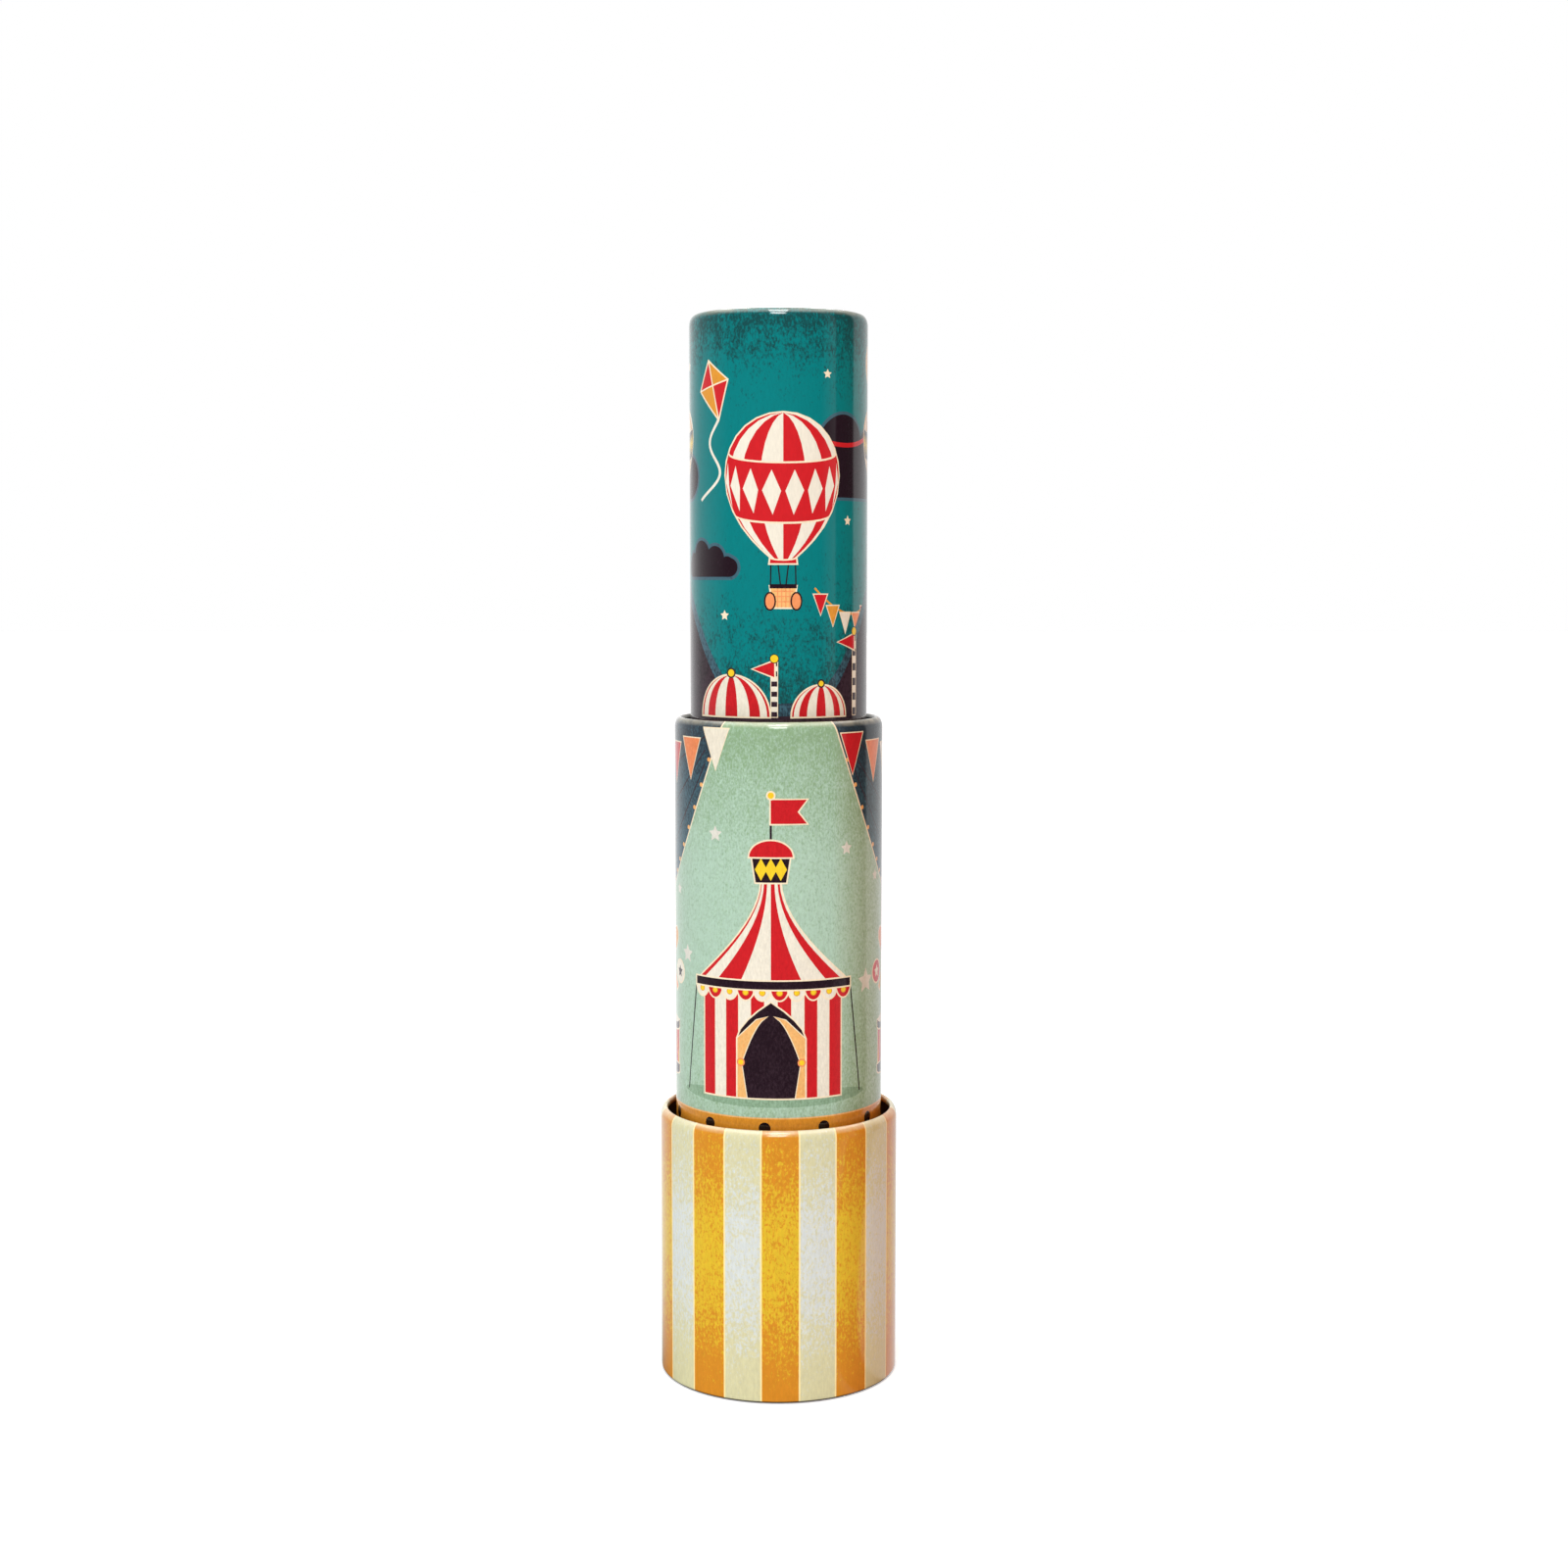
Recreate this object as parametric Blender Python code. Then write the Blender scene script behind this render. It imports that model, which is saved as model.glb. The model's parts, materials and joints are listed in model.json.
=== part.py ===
# A tinplate kaleidoscope that stands on its wide end and draws out like a spyglass.
#
# Three tin tubes nest in one another, each stepping in by one rolled rim and one gap.
#   base    the wide tube: it holds a cell of loose beads between a milky screen and a clear window
#   barrel  the middle tube: it turns in the base, and carries the three mirrors over the cell
#   felt    a loose ring under the barrel's rim, which grips the draw tube and turns with it
#   draw    the narrow tube: it slides down over the mirrors, and carries the eyepiece
#
# Lengths are metres, +Z is up, and the origin is the middle of the face that the base stands on.

import math
import random

import bmesh
import bpy
from mathutils import Matrix, Vector

# Tin sheet, its rims, and the gaps between pieces.
TIN = 0.0003
RIM_CURL = 0.0016          # across the roll at the top edge of each tube
TUBE_GAP = 0.0017          # between a rim and the tube that rises through it
SEAT = 0.0003              # between a piece and what it sits on or in
RUN = 0.0003               # between pieces that turn or slide on each other

# The three tubes.
DRAW_RADIUS = 0.0184
BARREL_RADIUS = DRAW_RADIUS + TUBE_GAP + RIM_CURL
BASE_RADIUS = BARREL_RADIUS + TUBE_GAP + RIM_CURL
BASE_HEIGHT = 0.0564
BARREL_SHOWN = 0.0824      # of the barrel, above the base's rim
DRAW_SHOWN = 0.0822        # of the draw tube, above the barrel's rim
DRAW_TRAVEL = 0.0700       # how far the draw tube pushes down

# The foot of the base: its bottom edge, folded in.
FOOT_WIDTH = 0.0028
FOOT_HEM = 0.0006
FOOT_CORNER = 0.0007

# The bead cell in the base, from the bottom up, and the bush over it.
SCREEN_THICKNESS = 0.0015
CELL_DEPTH = 0.0100
CELL_WALL = 0.0024
WINDOW_THICKNESS = 0.0012
KEEPER_WIDTH = 0.0020
KEEPER_THICKNESS = 0.0010
KEEPER_SLIT = 0.0040
BUSH_HEIGHT = 0.0080

# The beads.
BALL = 0.0040
CHIP = 0.0052
CHIP_THICKNESS = 0.0016
BUGLE_LENGTH = 0.0062
BUGLE = 0.0024
CUBE = 0.0032
BEAD_APART = 0.0009
STAR_NOTCH_SHARE = 0.5     # of a star's reach, at its notches
BEAD_SEED = 7

# The mirrors and what holds them.
MIRROR_THICKNESS = 0.0018
SOCKET_LEDGE = 0.0012
SOCKET_HEIGHT = 0.0080
GUIDE_WALL = 0.0015
GUIDE_HEIGHT = 0.0030
GUIDE_DROP = 0.0010        # of the guide, below the mirrors' ends
TAPE_THICKNESS = 0.0005
TAPE_WIDTH = 0.0090
TAPE_PLACE_SHARES = {"tape_band_lower": 1 / 4, "tape_band_upper": 3 / 4}  # of the mirrors' length

# What grips and stops the draw tube, under the barrel's rim.
FELT_HEIGHT = 0.0060
STOP_HEIGHT = 0.0015

# The eyepiece.
EYE_RECESS = 0.0040        # from the top of its skirt down to its plate
EYE_PLATE = 0.0015
EYE_SKIRT = 0.0012
EYE_HOLE = 0.0090
EYE_LIP_WIDTH = 0.0024
EYE_LIP_HEIGHT = 0.0010
EYE_WINDOW = 0.0010
EYE_KEEPER_WIDTH = 0.0023
EYE_KEEPER_HEIGHT = 0.0030

# How finely round shapes are cut, and how far a cutter overruns the face it cuts.
TUBE_FACETS = 72
CURL_POINTS = 9
CORNER_POINTS = 4
BUGLE_FACETS = 10
BALL_FACETS = (12, 8)
SMOOTH_BELOW = math.radians(40)
OVERRUN = 0.0010
WELD = TIN / 100           # points closer than this are one

# Inner walls.
BASE_BORE = BASE_RADIUS - TIN
BARREL_BORE = BARREL_RADIUS - TIN
DRAW_BORE = DRAW_RADIUS - TIN
CELL_RADIUS = BASE_BORE - SEAT
EYE_RADIUS = DRAW_BORE - SEAT

# Undersides in the base.
SCREEN_Z = FOOT_HEM + SEAT
CELL_Z = SCREEN_Z + SCREEN_THICKNESS + SEAT
WINDOW_Z = CELL_Z + CELL_DEPTH + SEAT
KEEPER_Z = WINDOW_Z + WINDOW_THICKNESS + SEAT
BARREL_Z = KEEPER_Z + KEEPER_THICKNESS + RUN
BUSH_Z = BARREL_Z + TIN + RUN

# Undersides in the barrel and the draw tube, from their rims down.
BARREL_TOP = BASE_HEIGHT + BARREL_SHOWN
FELT_Z = BARREL_TOP - RIM_CURL - SEAT - FELT_HEIGHT
STOP_Z = FELT_Z - SEAT - STOP_HEIGHT
DRAW_Z = STOP_Z - SEAT - TIN
DRAW_TOP = BARREL_TOP + DRAW_SHOWN
EYEPIECE_Z = DRAW_TOP - RIM_CURL - SEAT - EYE_RECESS - EYE_PLATE
EYE_WINDOW_Z = EYEPIECE_Z - SEAT - EYE_WINDOW
EYE_KEEPER_Z = EYE_WINDOW_Z - SEAT - EYE_KEEPER_HEIGHT

# The mirrors end where the ring under the eyepiece comes to rest on them.
MIRROR_Z = BARREL_Z + SOCKET_LEDGE + SEAT
MIRROR_TOP = EYE_KEEPER_Z - DRAW_TRAVEL - SEAT
MIRROR_LENGTH = MIRROR_TOP - MIRROR_Z
MIRROR_CORNER = DRAW_BORE - RUN - GUIDE_WALL - SEAT

# Each finish: colour, roughness, metallic, alpha.
FINISHES = {
    "orange_and_cream_tin": ((0.76, 0.40, 0.06), 0.28, 0.0, 1.0),
    "mint_tin": ((0.40, 0.60, 0.48), 0.28, 0.0, 1.0),
    "teal_tin": ((0.01, 0.19, 0.17), 0.28, 0.0, 1.0),
    "black_plastic": ((0.03, 0.03, 0.035), 0.45, 0.0, 1.0),
    "white_plastic": ((0.80, 0.80, 0.77), 0.40, 0.0, 1.0),
    "milky_plastic": ((0.86, 0.86, 0.83), 0.45, 0.0, 0.85),
    "clear_plastic": ((0.90, 0.94, 0.96), 0.06, 0.0, 0.20),
    "spring_steel": ((0.55, 0.56, 0.58), 0.30, 1.0, 1.0),
    "silvered_strip": ((0.86, 0.88, 0.90), 0.03, 1.0, 1.0),
    "black_tape": ((0.05, 0.05, 0.05), 0.60, 0.0, 1.0),
    "dark_felt": ((0.05, 0.05, 0.055), 0.95, 0.0, 1.0),
    "ruby_bead": ((0.72, 0.03, 0.05), 0.12, 0.0, 0.8),
    "amber_bead": ((0.90, 0.48, 0.04), 0.12, 0.0, 0.8),
    "lemon_bead": ((0.88, 0.78, 0.08), 0.12, 0.0, 0.8),
    "emerald_bead": ((0.03, 0.42, 0.16), 0.12, 0.0, 0.8),
    "sapphire_bead": ((0.03, 0.14, 0.62), 0.12, 0.0, 0.8),
    "violet_bead": ((0.34, 0.08, 0.50), 0.12, 0.0, 0.8),
}
BEAD_FINISHES = [name for name in FINISHES if name.endswith("bead")]


def clear_scene():
    for thing in list(bpy.data.objects):
        bpy.data.objects.remove(thing)


def finish(name):
    """The named finish as a material, made the first time it is asked for."""
    made = bpy.data.materials.get(name)
    if made:
        return made
    colour, roughness, metallic, alpha = FINISHES[name]
    made = bpy.data.materials.new(name)
    made.use_nodes = True
    shader = made.node_tree.nodes["Principled BSDF"]
    shader.inputs["Base Color"].default_value = (*colour, 1.0)
    shader.inputs["Roughness"].default_value = roughness
    shader.inputs["Metallic"].default_value = metallic
    shader.inputs["Alpha"].default_value = alpha
    made.diffuse_color = (*colour, alpha)
    return made


def group(name, height):
    """An empty on the tubes' common axis, which carries one moving body."""
    empty = bpy.data.objects.new(name, None)
    empty.location = (0, 0, height)
    bpy.context.scene.collection.objects.link(empty)
    return empty


def place(name, bm, carrier, height, look, across=(0, 0), turn=0.0):
    """Makes an object of bm and parents it, with its own zero at that height above the floor."""
    mesh = bpy.data.meshes.new(name)
    bm.to_mesh(mesh)
    bm.free()
    mesh.shade_smooth()
    mesh.set_sharp_from_angle(angle=SMOOTH_BELOW)
    mesh.materials.append(finish(look))
    piece = bpy.data.objects.new(name, mesh)
    bpy.context.scene.collection.objects.link(piece)
    piece.parent = carrier
    piece.location = (*across, height - carrier.location.z)
    piece.rotation_euler.z = turn
    return piece


def cut(piece, name, bm, height):
    """Takes bm, standing at that height above the floor, out of the piece."""
    cutter = place(name, bm, piece.parent, height, piece.data.materials[0].name)
    cutter.hide_render = True
    cutter.display_type = "WIRE"
    boolean = piece.modifiers.new(name, "BOOLEAN")
    boolean.operation = "DIFFERENCE"
    boolean.solver = "EXACT"
    boolean.object = cutter


# Turned and raised shapes, and the outlines they are made from.


def faced_out(bm):
    bmesh.ops.recalc_face_normals(bm, faces=bm.faces)
    if bm.calc_volume(signed=True) < 0:
        bmesh.ops.reverse_faces(bm, faces=bm.faces)
    return bm


def turned(outline, slit=0.0):
    """A closed (radius, height) outline turned about Z, left open over the angle of a slit."""
    bm = bmesh.new()
    points = [bm.verts.new((radius, 0, height)) for radius, height in outline]
    edges = [bm.edges.new(pair) for pair in zip(points, points[1:])]
    if outline[0][0] > 0:
        edges.append(bm.edges.new((points[-1], points[0])))
    swept = bmesh.ops.spin(
        bm,
        geom=points + edges,
        axis=(0, 0, 1),
        cent=(0, 0, 0),
        angle=math.tau - slit,
        steps=TUBE_FACETS,
        use_merge=slit == 0,
    )
    if slit:
        bm.faces.new(points)
        bm.faces.new([v for v in swept["geom_last"] if isinstance(v, bmesh.types.BMVert)])
    bmesh.ops.remove_doubles(bm, verts=bm.verts, dist=WELD)
    return faced_out(bm)


def raised(outline, height):
    """A flat outline in X and Y, raised to a height."""
    bm = bmesh.new()
    floor = bm.faces.new([bm.verts.new((x, y, 0)) for x, y in outline])
    copy = bmesh.ops.extrude_face_region(bm, geom=[floor], use_keep_orig=True)
    tops = [v for v in copy["geom"] if isinstance(v, bmesh.types.BMVert)]
    bmesh.ops.translate(bm, verts=tops, vec=(0, 0, height))
    return faced_out(bm)


def box(width, depth, height):
    """A box standing on its own zero."""
    bm = bmesh.new()
    bmesh.ops.create_cube(bm, size=1)
    bmesh.ops.scale(bm, verts=bm.verts, vec=(width, depth, height))
    bmesh.ops.translate(bm, verts=bm.verts, vec=(0, 0, height / 2))
    return bm


def ring(inner, outer, height):
    """The outline of a ring with square edges."""
    return [(inner, 0), (outer, 0), (outer, height), (inner, height)]


def disc(radius, height):
    """The outline of a plain disc, from the axis back to the axis."""
    return [(0, 0), (radius, 0), (radius, height), (0, height)]


def arc(centre, radius, start, end, count):
    """Points on an arc between two angles."""
    turns = [start + (end - start) * i / (count - 1) for i in range(count)]
    return [(centre[0] + radius * math.cos(t), centre[1] + radius * math.sin(t)) for t in turns]


def curl(radius, height):
    """A tube's rolled rim, from its outer wall over the top and round to its inner wall."""
    roll = RIM_CURL / 2
    inner_wall = math.tau - math.acos((roll - TIN) / roll)
    return arc((radius - roll, height - roll), roll, 0, inner_wall, CURL_POINTS)


def flanged_tube(radius, length, flange):
    """The outline of a tin tube with an outward flange at its foot and a rolled rim."""
    foot = [(radius - TIN, 0), (flange, 0), (flange, TIN), (radius, TIN)]
    return foot + curl(radius, length)


def polygon(reach, corners, start=0.0):
    turns = [start + math.tau * i / corners for i in range(corners)]
    return [(reach * math.cos(t), reach * math.sin(t)) for t in turns]


# The base.


def base_sleeve(carrier):
    foot_edge = BASE_RADIUS - FOOT_WIDTH
    corner = (BASE_RADIUS - FOOT_CORNER, FOOT_CORNER)
    outline = [(foot_edge, 0)]
    outline += arc(corner, FOOT_CORNER, -math.tau / 4, 0, CORNER_POINTS)
    outline += curl(BASE_RADIUS, BASE_HEIGHT)
    outline += [(BASE_BORE, FOOT_HEM), (foot_edge, FOOT_HEM)]
    place("base_sleeve", turned(outline), carrier, 0, "orange_and_cream_tin")


def light_screen(carrier):
    """The milky disc that lets light in behind the beads."""
    shape = turned(disc(CELL_RADIUS, SCREEN_THICKNESS))
    place("light_screen", shape, carrier, SCREEN_Z, "milky_plastic")


def cell_ring(carrier):
    shape = turned(ring(CELL_RADIUS - CELL_WALL, CELL_RADIUS, CELL_DEPTH))
    place("cell_ring", shape, carrier, CELL_Z, "white_plastic")


def cell_window(carrier):
    shape = turned(disc(CELL_RADIUS, WINDOW_THICKNESS))
    place("cell_window", shape, carrier, WINDOW_Z, "clear_plastic")


def window_keeper(carrier):
    """The split spring ring over the cell."""
    outline = ring(CELL_RADIUS - KEEPER_WIDTH, CELL_RADIUS, KEEPER_THICKNESS)
    shape = turned(outline, slit=KEEPER_SLIT / CELL_RADIUS)
    place("window_keeper", shape, carrier, KEEPER_Z, "spring_steel")


def base_bush(carrier):
    """The plastic ring that the barrel turns in, which also holds the barrel's flange down."""
    shape = turned(ring(BARREL_RADIUS + RUN, CELL_RADIUS, BUSH_HEIGHT))
    place("base_bush", shape, carrier, BUSH_Z, "black_plastic")


# The loose beads. Each shape stands on its own zero.


def ball():
    bm = bmesh.new()
    around, up = BALL_FACETS
    bmesh.ops.create_uvsphere(bm, u_segments=around, v_segments=up, radius=BALL / 2)
    bmesh.ops.translate(bm, verts=bm.verts, vec=(0, 0, BALL / 2))
    return bm


def star():
    tips = polygon(CHIP / 2, 5)
    notches = polygon(CHIP / 2 * STAR_NOTCH_SHARE, 5, start=math.tau / 10)
    return raised([point for pair in zip(tips, notches) for point in pair], CHIP_THICKNESS)


def bugle():
    """A short rod lying on its side."""
    bm = bmesh.new()
    bmesh.ops.create_cone(
        bm,
        cap_ends=True,
        segments=BUGLE_FACETS,
        radius1=BUGLE / 2,
        radius2=BUGLE / 2,
        depth=BUGLE_LENGTH,
        matrix=Matrix.Rotation(math.tau / 4, 4, "Y"),
    )
    bmesh.ops.translate(bm, verts=bm.verts, vec=(0, 0, BUGLE / 2))
    return bm


def triangle():
    return raised(polygon(CHIP / 2, 3), CHIP_THICKNESS)


def hexagon():
    return raised(polygon(CHIP / 2, 6), CHIP_THICKNESS)


def cube():
    return box(CUBE, CUBE, CUBE)


BEAD_SHAPES = (ball, star, bugle, triangle, cube, hexagon)
BEAD_REACH = max(BALL, CHIP, math.hypot(BUGLE_LENGTH, BUGLE), math.hypot(CUBE, CUBE))


def bead_places():
    """Spots on a triangular grid inside the cell, nearest the axis first."""
    pitch = BEAD_REACH + BEAD_APART
    room = CELL_RADIUS - CELL_WALL - pitch / 2
    rows = range(-int(room / pitch) - 2, int(room / pitch) + 3)
    spots = [Vector((column + row / 2, row * math.sqrt(3) / 2)) for row in rows for column in rows]
    spots = [spot for spot in spots if spot.length * pitch < room]
    spots.sort(key=lambda spot: (round(spot.length, 3), math.atan2(spot.y, spot.x)))
    return [spot * pitch for spot in spots]


def beads(carrier):
    """Loose beads and chips, each turned and strayed a little on its own spot of the screen."""
    rng = random.Random(BEAD_SEED)
    stray = max(0, BEAD_APART - SEAT) / 2 / math.sqrt(2)
    for i, spot in enumerate(bead_places()):
        shape = BEAD_SHAPES[i % len(BEAD_SHAPES)]
        look = BEAD_FINISHES[(i + i // len(BEAD_SHAPES)) % len(BEAD_FINISHES)]
        across = (spot.x + stray * rng.uniform(-1, 1), spot.y + stray * rng.uniform(-1, 1))
        name = f"bead_{i + 1:02d}_{shape.__name__}"
        place(name, shape(), carrier, CELL_Z, look, across, rng.uniform(0, math.tau))


# The mirrors, a triangle whose outer corners reach MIRROR_CORNER from the axis.


def mirror_side():
    """The side of the triangle that the three silvered faces enclose."""
    slope = MIRROR_THICKNESS / math.sqrt(3)
    rest = MIRROR_THICKNESS**2 - MIRROR_CORNER**2
    return (-slope + math.sqrt(slope**2 - 4 * rest / 3)) * 3 / 2


def mirror_depth():
    """From the axis to each silvered face."""
    return mirror_side() / (2 * math.sqrt(3))


def prism_outline(margin):
    """The six outer corners of the three mirrors, grown by a margin."""
    reach = mirror_side() / 2 + margin
    out = mirror_depth() + MIRROR_THICKNESS + margin
    turns = [Matrix.Rotation(math.tau * third / 3, 2) for third in range(3)]
    return [tuple(turn @ Vector((side * reach, -out))) for turn in turns for side in (-1, 1)]


def mirrors(carrier):
    """Three strips, silvered faces inward, whose long edges almost meet."""
    out = mirror_depth() + MIRROR_THICKNESS / 2
    for third, name in enumerate(("mirror_front", "mirror_right", "mirror_left")):
        turn = math.tau * third / 3
        strip = box(mirror_side() - 2 * SEAT, MIRROR_THICKNESS, MIRROR_LENGTH)
        across = (out * math.sin(turn), -out * math.cos(turn))
        place(name, strip, carrier, MIRROR_Z, "silvered_strip", across, turn)


def mirror_socket(carrier):
    """The plug in the barrel's foot: a ledge under the mirrors, a light hole and a pocket."""
    plug = turned(disc(BARREL_BORE - SEAT, SOCKET_HEIGHT))
    socket = place("mirror_socket", plug, carrier, BARREL_Z, "black_plastic")
    sight = polygon(2 * mirror_depth(), 3, start=math.tau / 4)
    hole = raised(sight, SOCKET_LEDGE + 2 * OVERRUN)
    cut(socket, "socket_light_hole", hole, BARREL_Z - OVERRUN)
    pocket = raised(prism_outline(SEAT), SOCKET_HEIGHT)
    cut(socket, "socket_pocket", pocket, BARREL_Z + SOCKET_LEDGE)


def mirror_guide(carrier):
    """The ring on the mirrors' upper ends, which the draw tube slides over."""
    foot = MIRROR_TOP - GUIDE_DROP - GUIDE_HEIGHT
    shape = turned(disc(DRAW_BORE - RUN, GUIDE_HEIGHT))
    guide = place("mirror_guide", shape, carrier, foot, "black_plastic")
    hole = raised(prism_outline(SEAT), GUIDE_HEIGHT + 2 * OVERRUN)
    cut(guide, "guide_hole", hole, foot - OVERRUN)


def tape_bands(carrier):
    for name, share in TAPE_PLACE_SHARES.items():
        foot = MIRROR_Z + MIRROR_LENGTH * share - TAPE_WIDTH / 2
        shape = raised(prism_outline(SEAT + TAPE_THICKNESS), TAPE_WIDTH)
        band = place(name, shape, carrier, foot, "black_tape")
        hole = raised(prism_outline(SEAT), TAPE_WIDTH + 2 * OVERRUN)
        cut(band, name + "_hole", hole, foot - OVERRUN)


# The barrel, and what grips and stops the draw tube in it.


def barrel_tube(carrier):
    outline = flanged_tube(BARREL_RADIUS, BARREL_TOP - BARREL_Z, BASE_BORE - RUN)
    place("barrel_tube", turned(outline), carrier, BARREL_Z, "mint_tin")


def draw_stop(carrier):
    """The ring glued in the barrel that the draw tube's flange comes up against."""
    shape = turned(ring(DRAW_RADIUS + RUN, BARREL_BORE - SEAT, STOP_HEIGHT))
    place("draw_stop", shape, carrier, STOP_Z, "black_plastic")


def felt_ring(carrier):
    shape = turned(ring(DRAW_RADIUS + RUN, BARREL_BORE - RUN, FELT_HEIGHT))
    place("felt_ring", shape, carrier, FELT_Z, "dark_felt")


# The draw tube and its eyepiece.


def draw_tube(carrier):
    outline = flanged_tube(DRAW_RADIUS, DRAW_TOP - DRAW_Z, BARREL_BORE - RUN)
    place("draw_tube", turned(outline), carrier, DRAW_Z, "teal_tin")


def eyepiece_cup(carrier):
    """A cup held under the rim, with a lip round the hole to look through."""
    hole = EYE_HOLE / 2
    lip = hole + EYE_LIP_WIDTH
    lip_top = EYE_PLATE + EYE_LIP_HEIGHT
    chamfer = EYE_LIP_HEIGHT / 2
    skirt = EYE_RADIUS - EYE_SKIRT
    skirt_top = EYE_PLATE + EYE_RECESS
    outline = [(hole, 0), (EYE_RADIUS, 0), (EYE_RADIUS, skirt_top), (skirt, skirt_top)]
    outline += [(skirt, EYE_PLATE), (lip, EYE_PLATE), (lip, lip_top - chamfer)]
    outline += [(lip - chamfer, lip_top), (hole + chamfer, lip_top), (hole, lip_top - chamfer)]
    place("eyepiece_cup", turned(outline), carrier, EYEPIECE_Z, "black_plastic")


def eye_window(carrier):
    shape = turned(disc(EYE_RADIUS, EYE_WINDOW))
    place("eye_window", shape, carrier, EYE_WINDOW_Z, "clear_plastic")


def eye_keeper(carrier):
    """The split spring ring under the eyepiece."""
    outline = ring(EYE_RADIUS - EYE_KEEPER_WIDTH, EYE_RADIUS, EYE_KEEPER_HEIGHT)
    shape = turned(outline, slit=KEEPER_SLIT / EYE_RADIUS)
    place("eye_keeper", shape, carrier, EYE_KEEPER_Z, "spring_steel")


BASE_PIECES = (base_sleeve, light_screen, cell_ring, beads, cell_window, window_keeper, base_bush)
BARREL_PIECES = (barrel_tube, mirror_socket, mirrors, tape_bands, mirror_guide, draw_stop)
DRAW_PIECES = (draw_tube, eyepiece_cup, eye_window, eye_keeper)
BODIES = {
    "base": (0, BASE_PIECES),
    "barrel": (BARREL_Z, BARREL_PIECES),
    "felt": (FELT_Z, (felt_ring,)),
    "draw": (DRAW_Z, DRAW_PIECES),
}

clear_scene()
for body, (height, pieces) in BODIES.items():
    empty = group(body, height)
    for make_piece in pieces:
        make_piece(empty)
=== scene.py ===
# %% [markdown]
# # Dressing a tin kaleidoscope
# The toy is three printed tinplate tubes that nest like a spyglass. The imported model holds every
# piece at its place already, so this script gives the pieces their looks: it prints flat sheets,
# rolls them into tubes, and finishes the plastic, felt, steel and mirrors inside.
# Lengths are metres, +Z is up, and the printed front looks along -Y.

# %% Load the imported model
import bisect
import json
import math

import bmesh
import bpy
import numpy as np
from mathutils import Matrix, Vector, geometry

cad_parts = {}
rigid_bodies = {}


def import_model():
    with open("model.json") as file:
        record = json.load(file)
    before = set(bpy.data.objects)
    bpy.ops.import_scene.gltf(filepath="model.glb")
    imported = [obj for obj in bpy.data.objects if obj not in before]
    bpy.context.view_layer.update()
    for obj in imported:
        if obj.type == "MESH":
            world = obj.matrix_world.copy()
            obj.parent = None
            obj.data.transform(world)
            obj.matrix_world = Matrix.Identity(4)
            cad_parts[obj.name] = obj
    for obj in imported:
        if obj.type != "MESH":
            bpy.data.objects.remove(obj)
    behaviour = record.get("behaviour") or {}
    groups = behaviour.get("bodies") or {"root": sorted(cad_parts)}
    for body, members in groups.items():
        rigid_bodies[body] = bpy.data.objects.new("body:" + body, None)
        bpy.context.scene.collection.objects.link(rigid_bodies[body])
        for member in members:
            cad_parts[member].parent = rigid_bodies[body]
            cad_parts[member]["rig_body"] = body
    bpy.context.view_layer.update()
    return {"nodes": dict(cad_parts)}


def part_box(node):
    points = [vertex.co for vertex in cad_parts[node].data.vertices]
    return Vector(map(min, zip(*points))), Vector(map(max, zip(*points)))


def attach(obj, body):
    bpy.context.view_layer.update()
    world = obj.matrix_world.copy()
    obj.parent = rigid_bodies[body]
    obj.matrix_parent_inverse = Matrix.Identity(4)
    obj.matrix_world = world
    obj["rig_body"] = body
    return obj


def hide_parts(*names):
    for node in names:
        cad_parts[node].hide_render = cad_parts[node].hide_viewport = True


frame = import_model()
nodes = frame["nodes"]

# %% [markdown]
# ## Sizes
# A tube's wall can't be read off its box where a flange stands out further, so the three radii
# step in from the base: by one rolled rim and one gap each time. Heights come from the boxes.

# %% Sizes of the tin
TIN = 0.0003                # thickness of the sheet
RIM_CURL = 0.0016           # width of a rolled rim
RIM_SHOULDER = 0.0022       # height over which the wall rounds in to the rim's crest
RIM_CREST_IN = 0.0012       # from the wall in to the crest
TUBE_GAP = 0.0017           # between a rim and the next tube
BASE_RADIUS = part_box("base_sleeve")[1].x
BARREL_RADIUS = BASE_RADIUS - RIM_CURL - TUBE_GAP
DRAW_RADIUS = BARREL_RADIUS - RIM_CURL - TUBE_GAP
BASE_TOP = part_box("base_sleeve")[1].z
BARREL_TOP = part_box("barrel_tube")[1].z
DRAW_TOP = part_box("draw_tube")[1].z
for label, radius in (("base", BASE_RADIUS), ("barrel", BARREL_RADIUS), ("draw tube", DRAW_RADIUS)):
    print(f"{label}: {2000 * radius:.1f} mm across")

# %% [markdown]
# ## Colours
# Tin toys are printed in flat inks, one plate for each, and a paint chart gives an ink as a
# hexadecimal code. Shaders want linear light, so every code is converted once, here.


# %% Turn a colour code into linear light
def linear(code):
    """The linear red, green and blue of a colour code such as "E0952B"."""
    levels = [int(code[i : i + 2], 16) / 255 for i in (0, 2, 4)]
    return tuple(v / 12.92 if v <= 0.04045 else ((v + 0.055) / 1.055) ** 2.4 for v in levels)


def paint(code):
    """The same as a solid shader colour."""
    return (*linear(code), 1)


print(f"half grey is {linear('808080')[0]:.3f} of white in linear light")

# %% [markdown]
# Each ink has a second tone: the colour that shows where the printer stippled or rubbed it, so
# that a print looks hand worn rather than flat. The third value says how readily it rubs.

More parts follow.
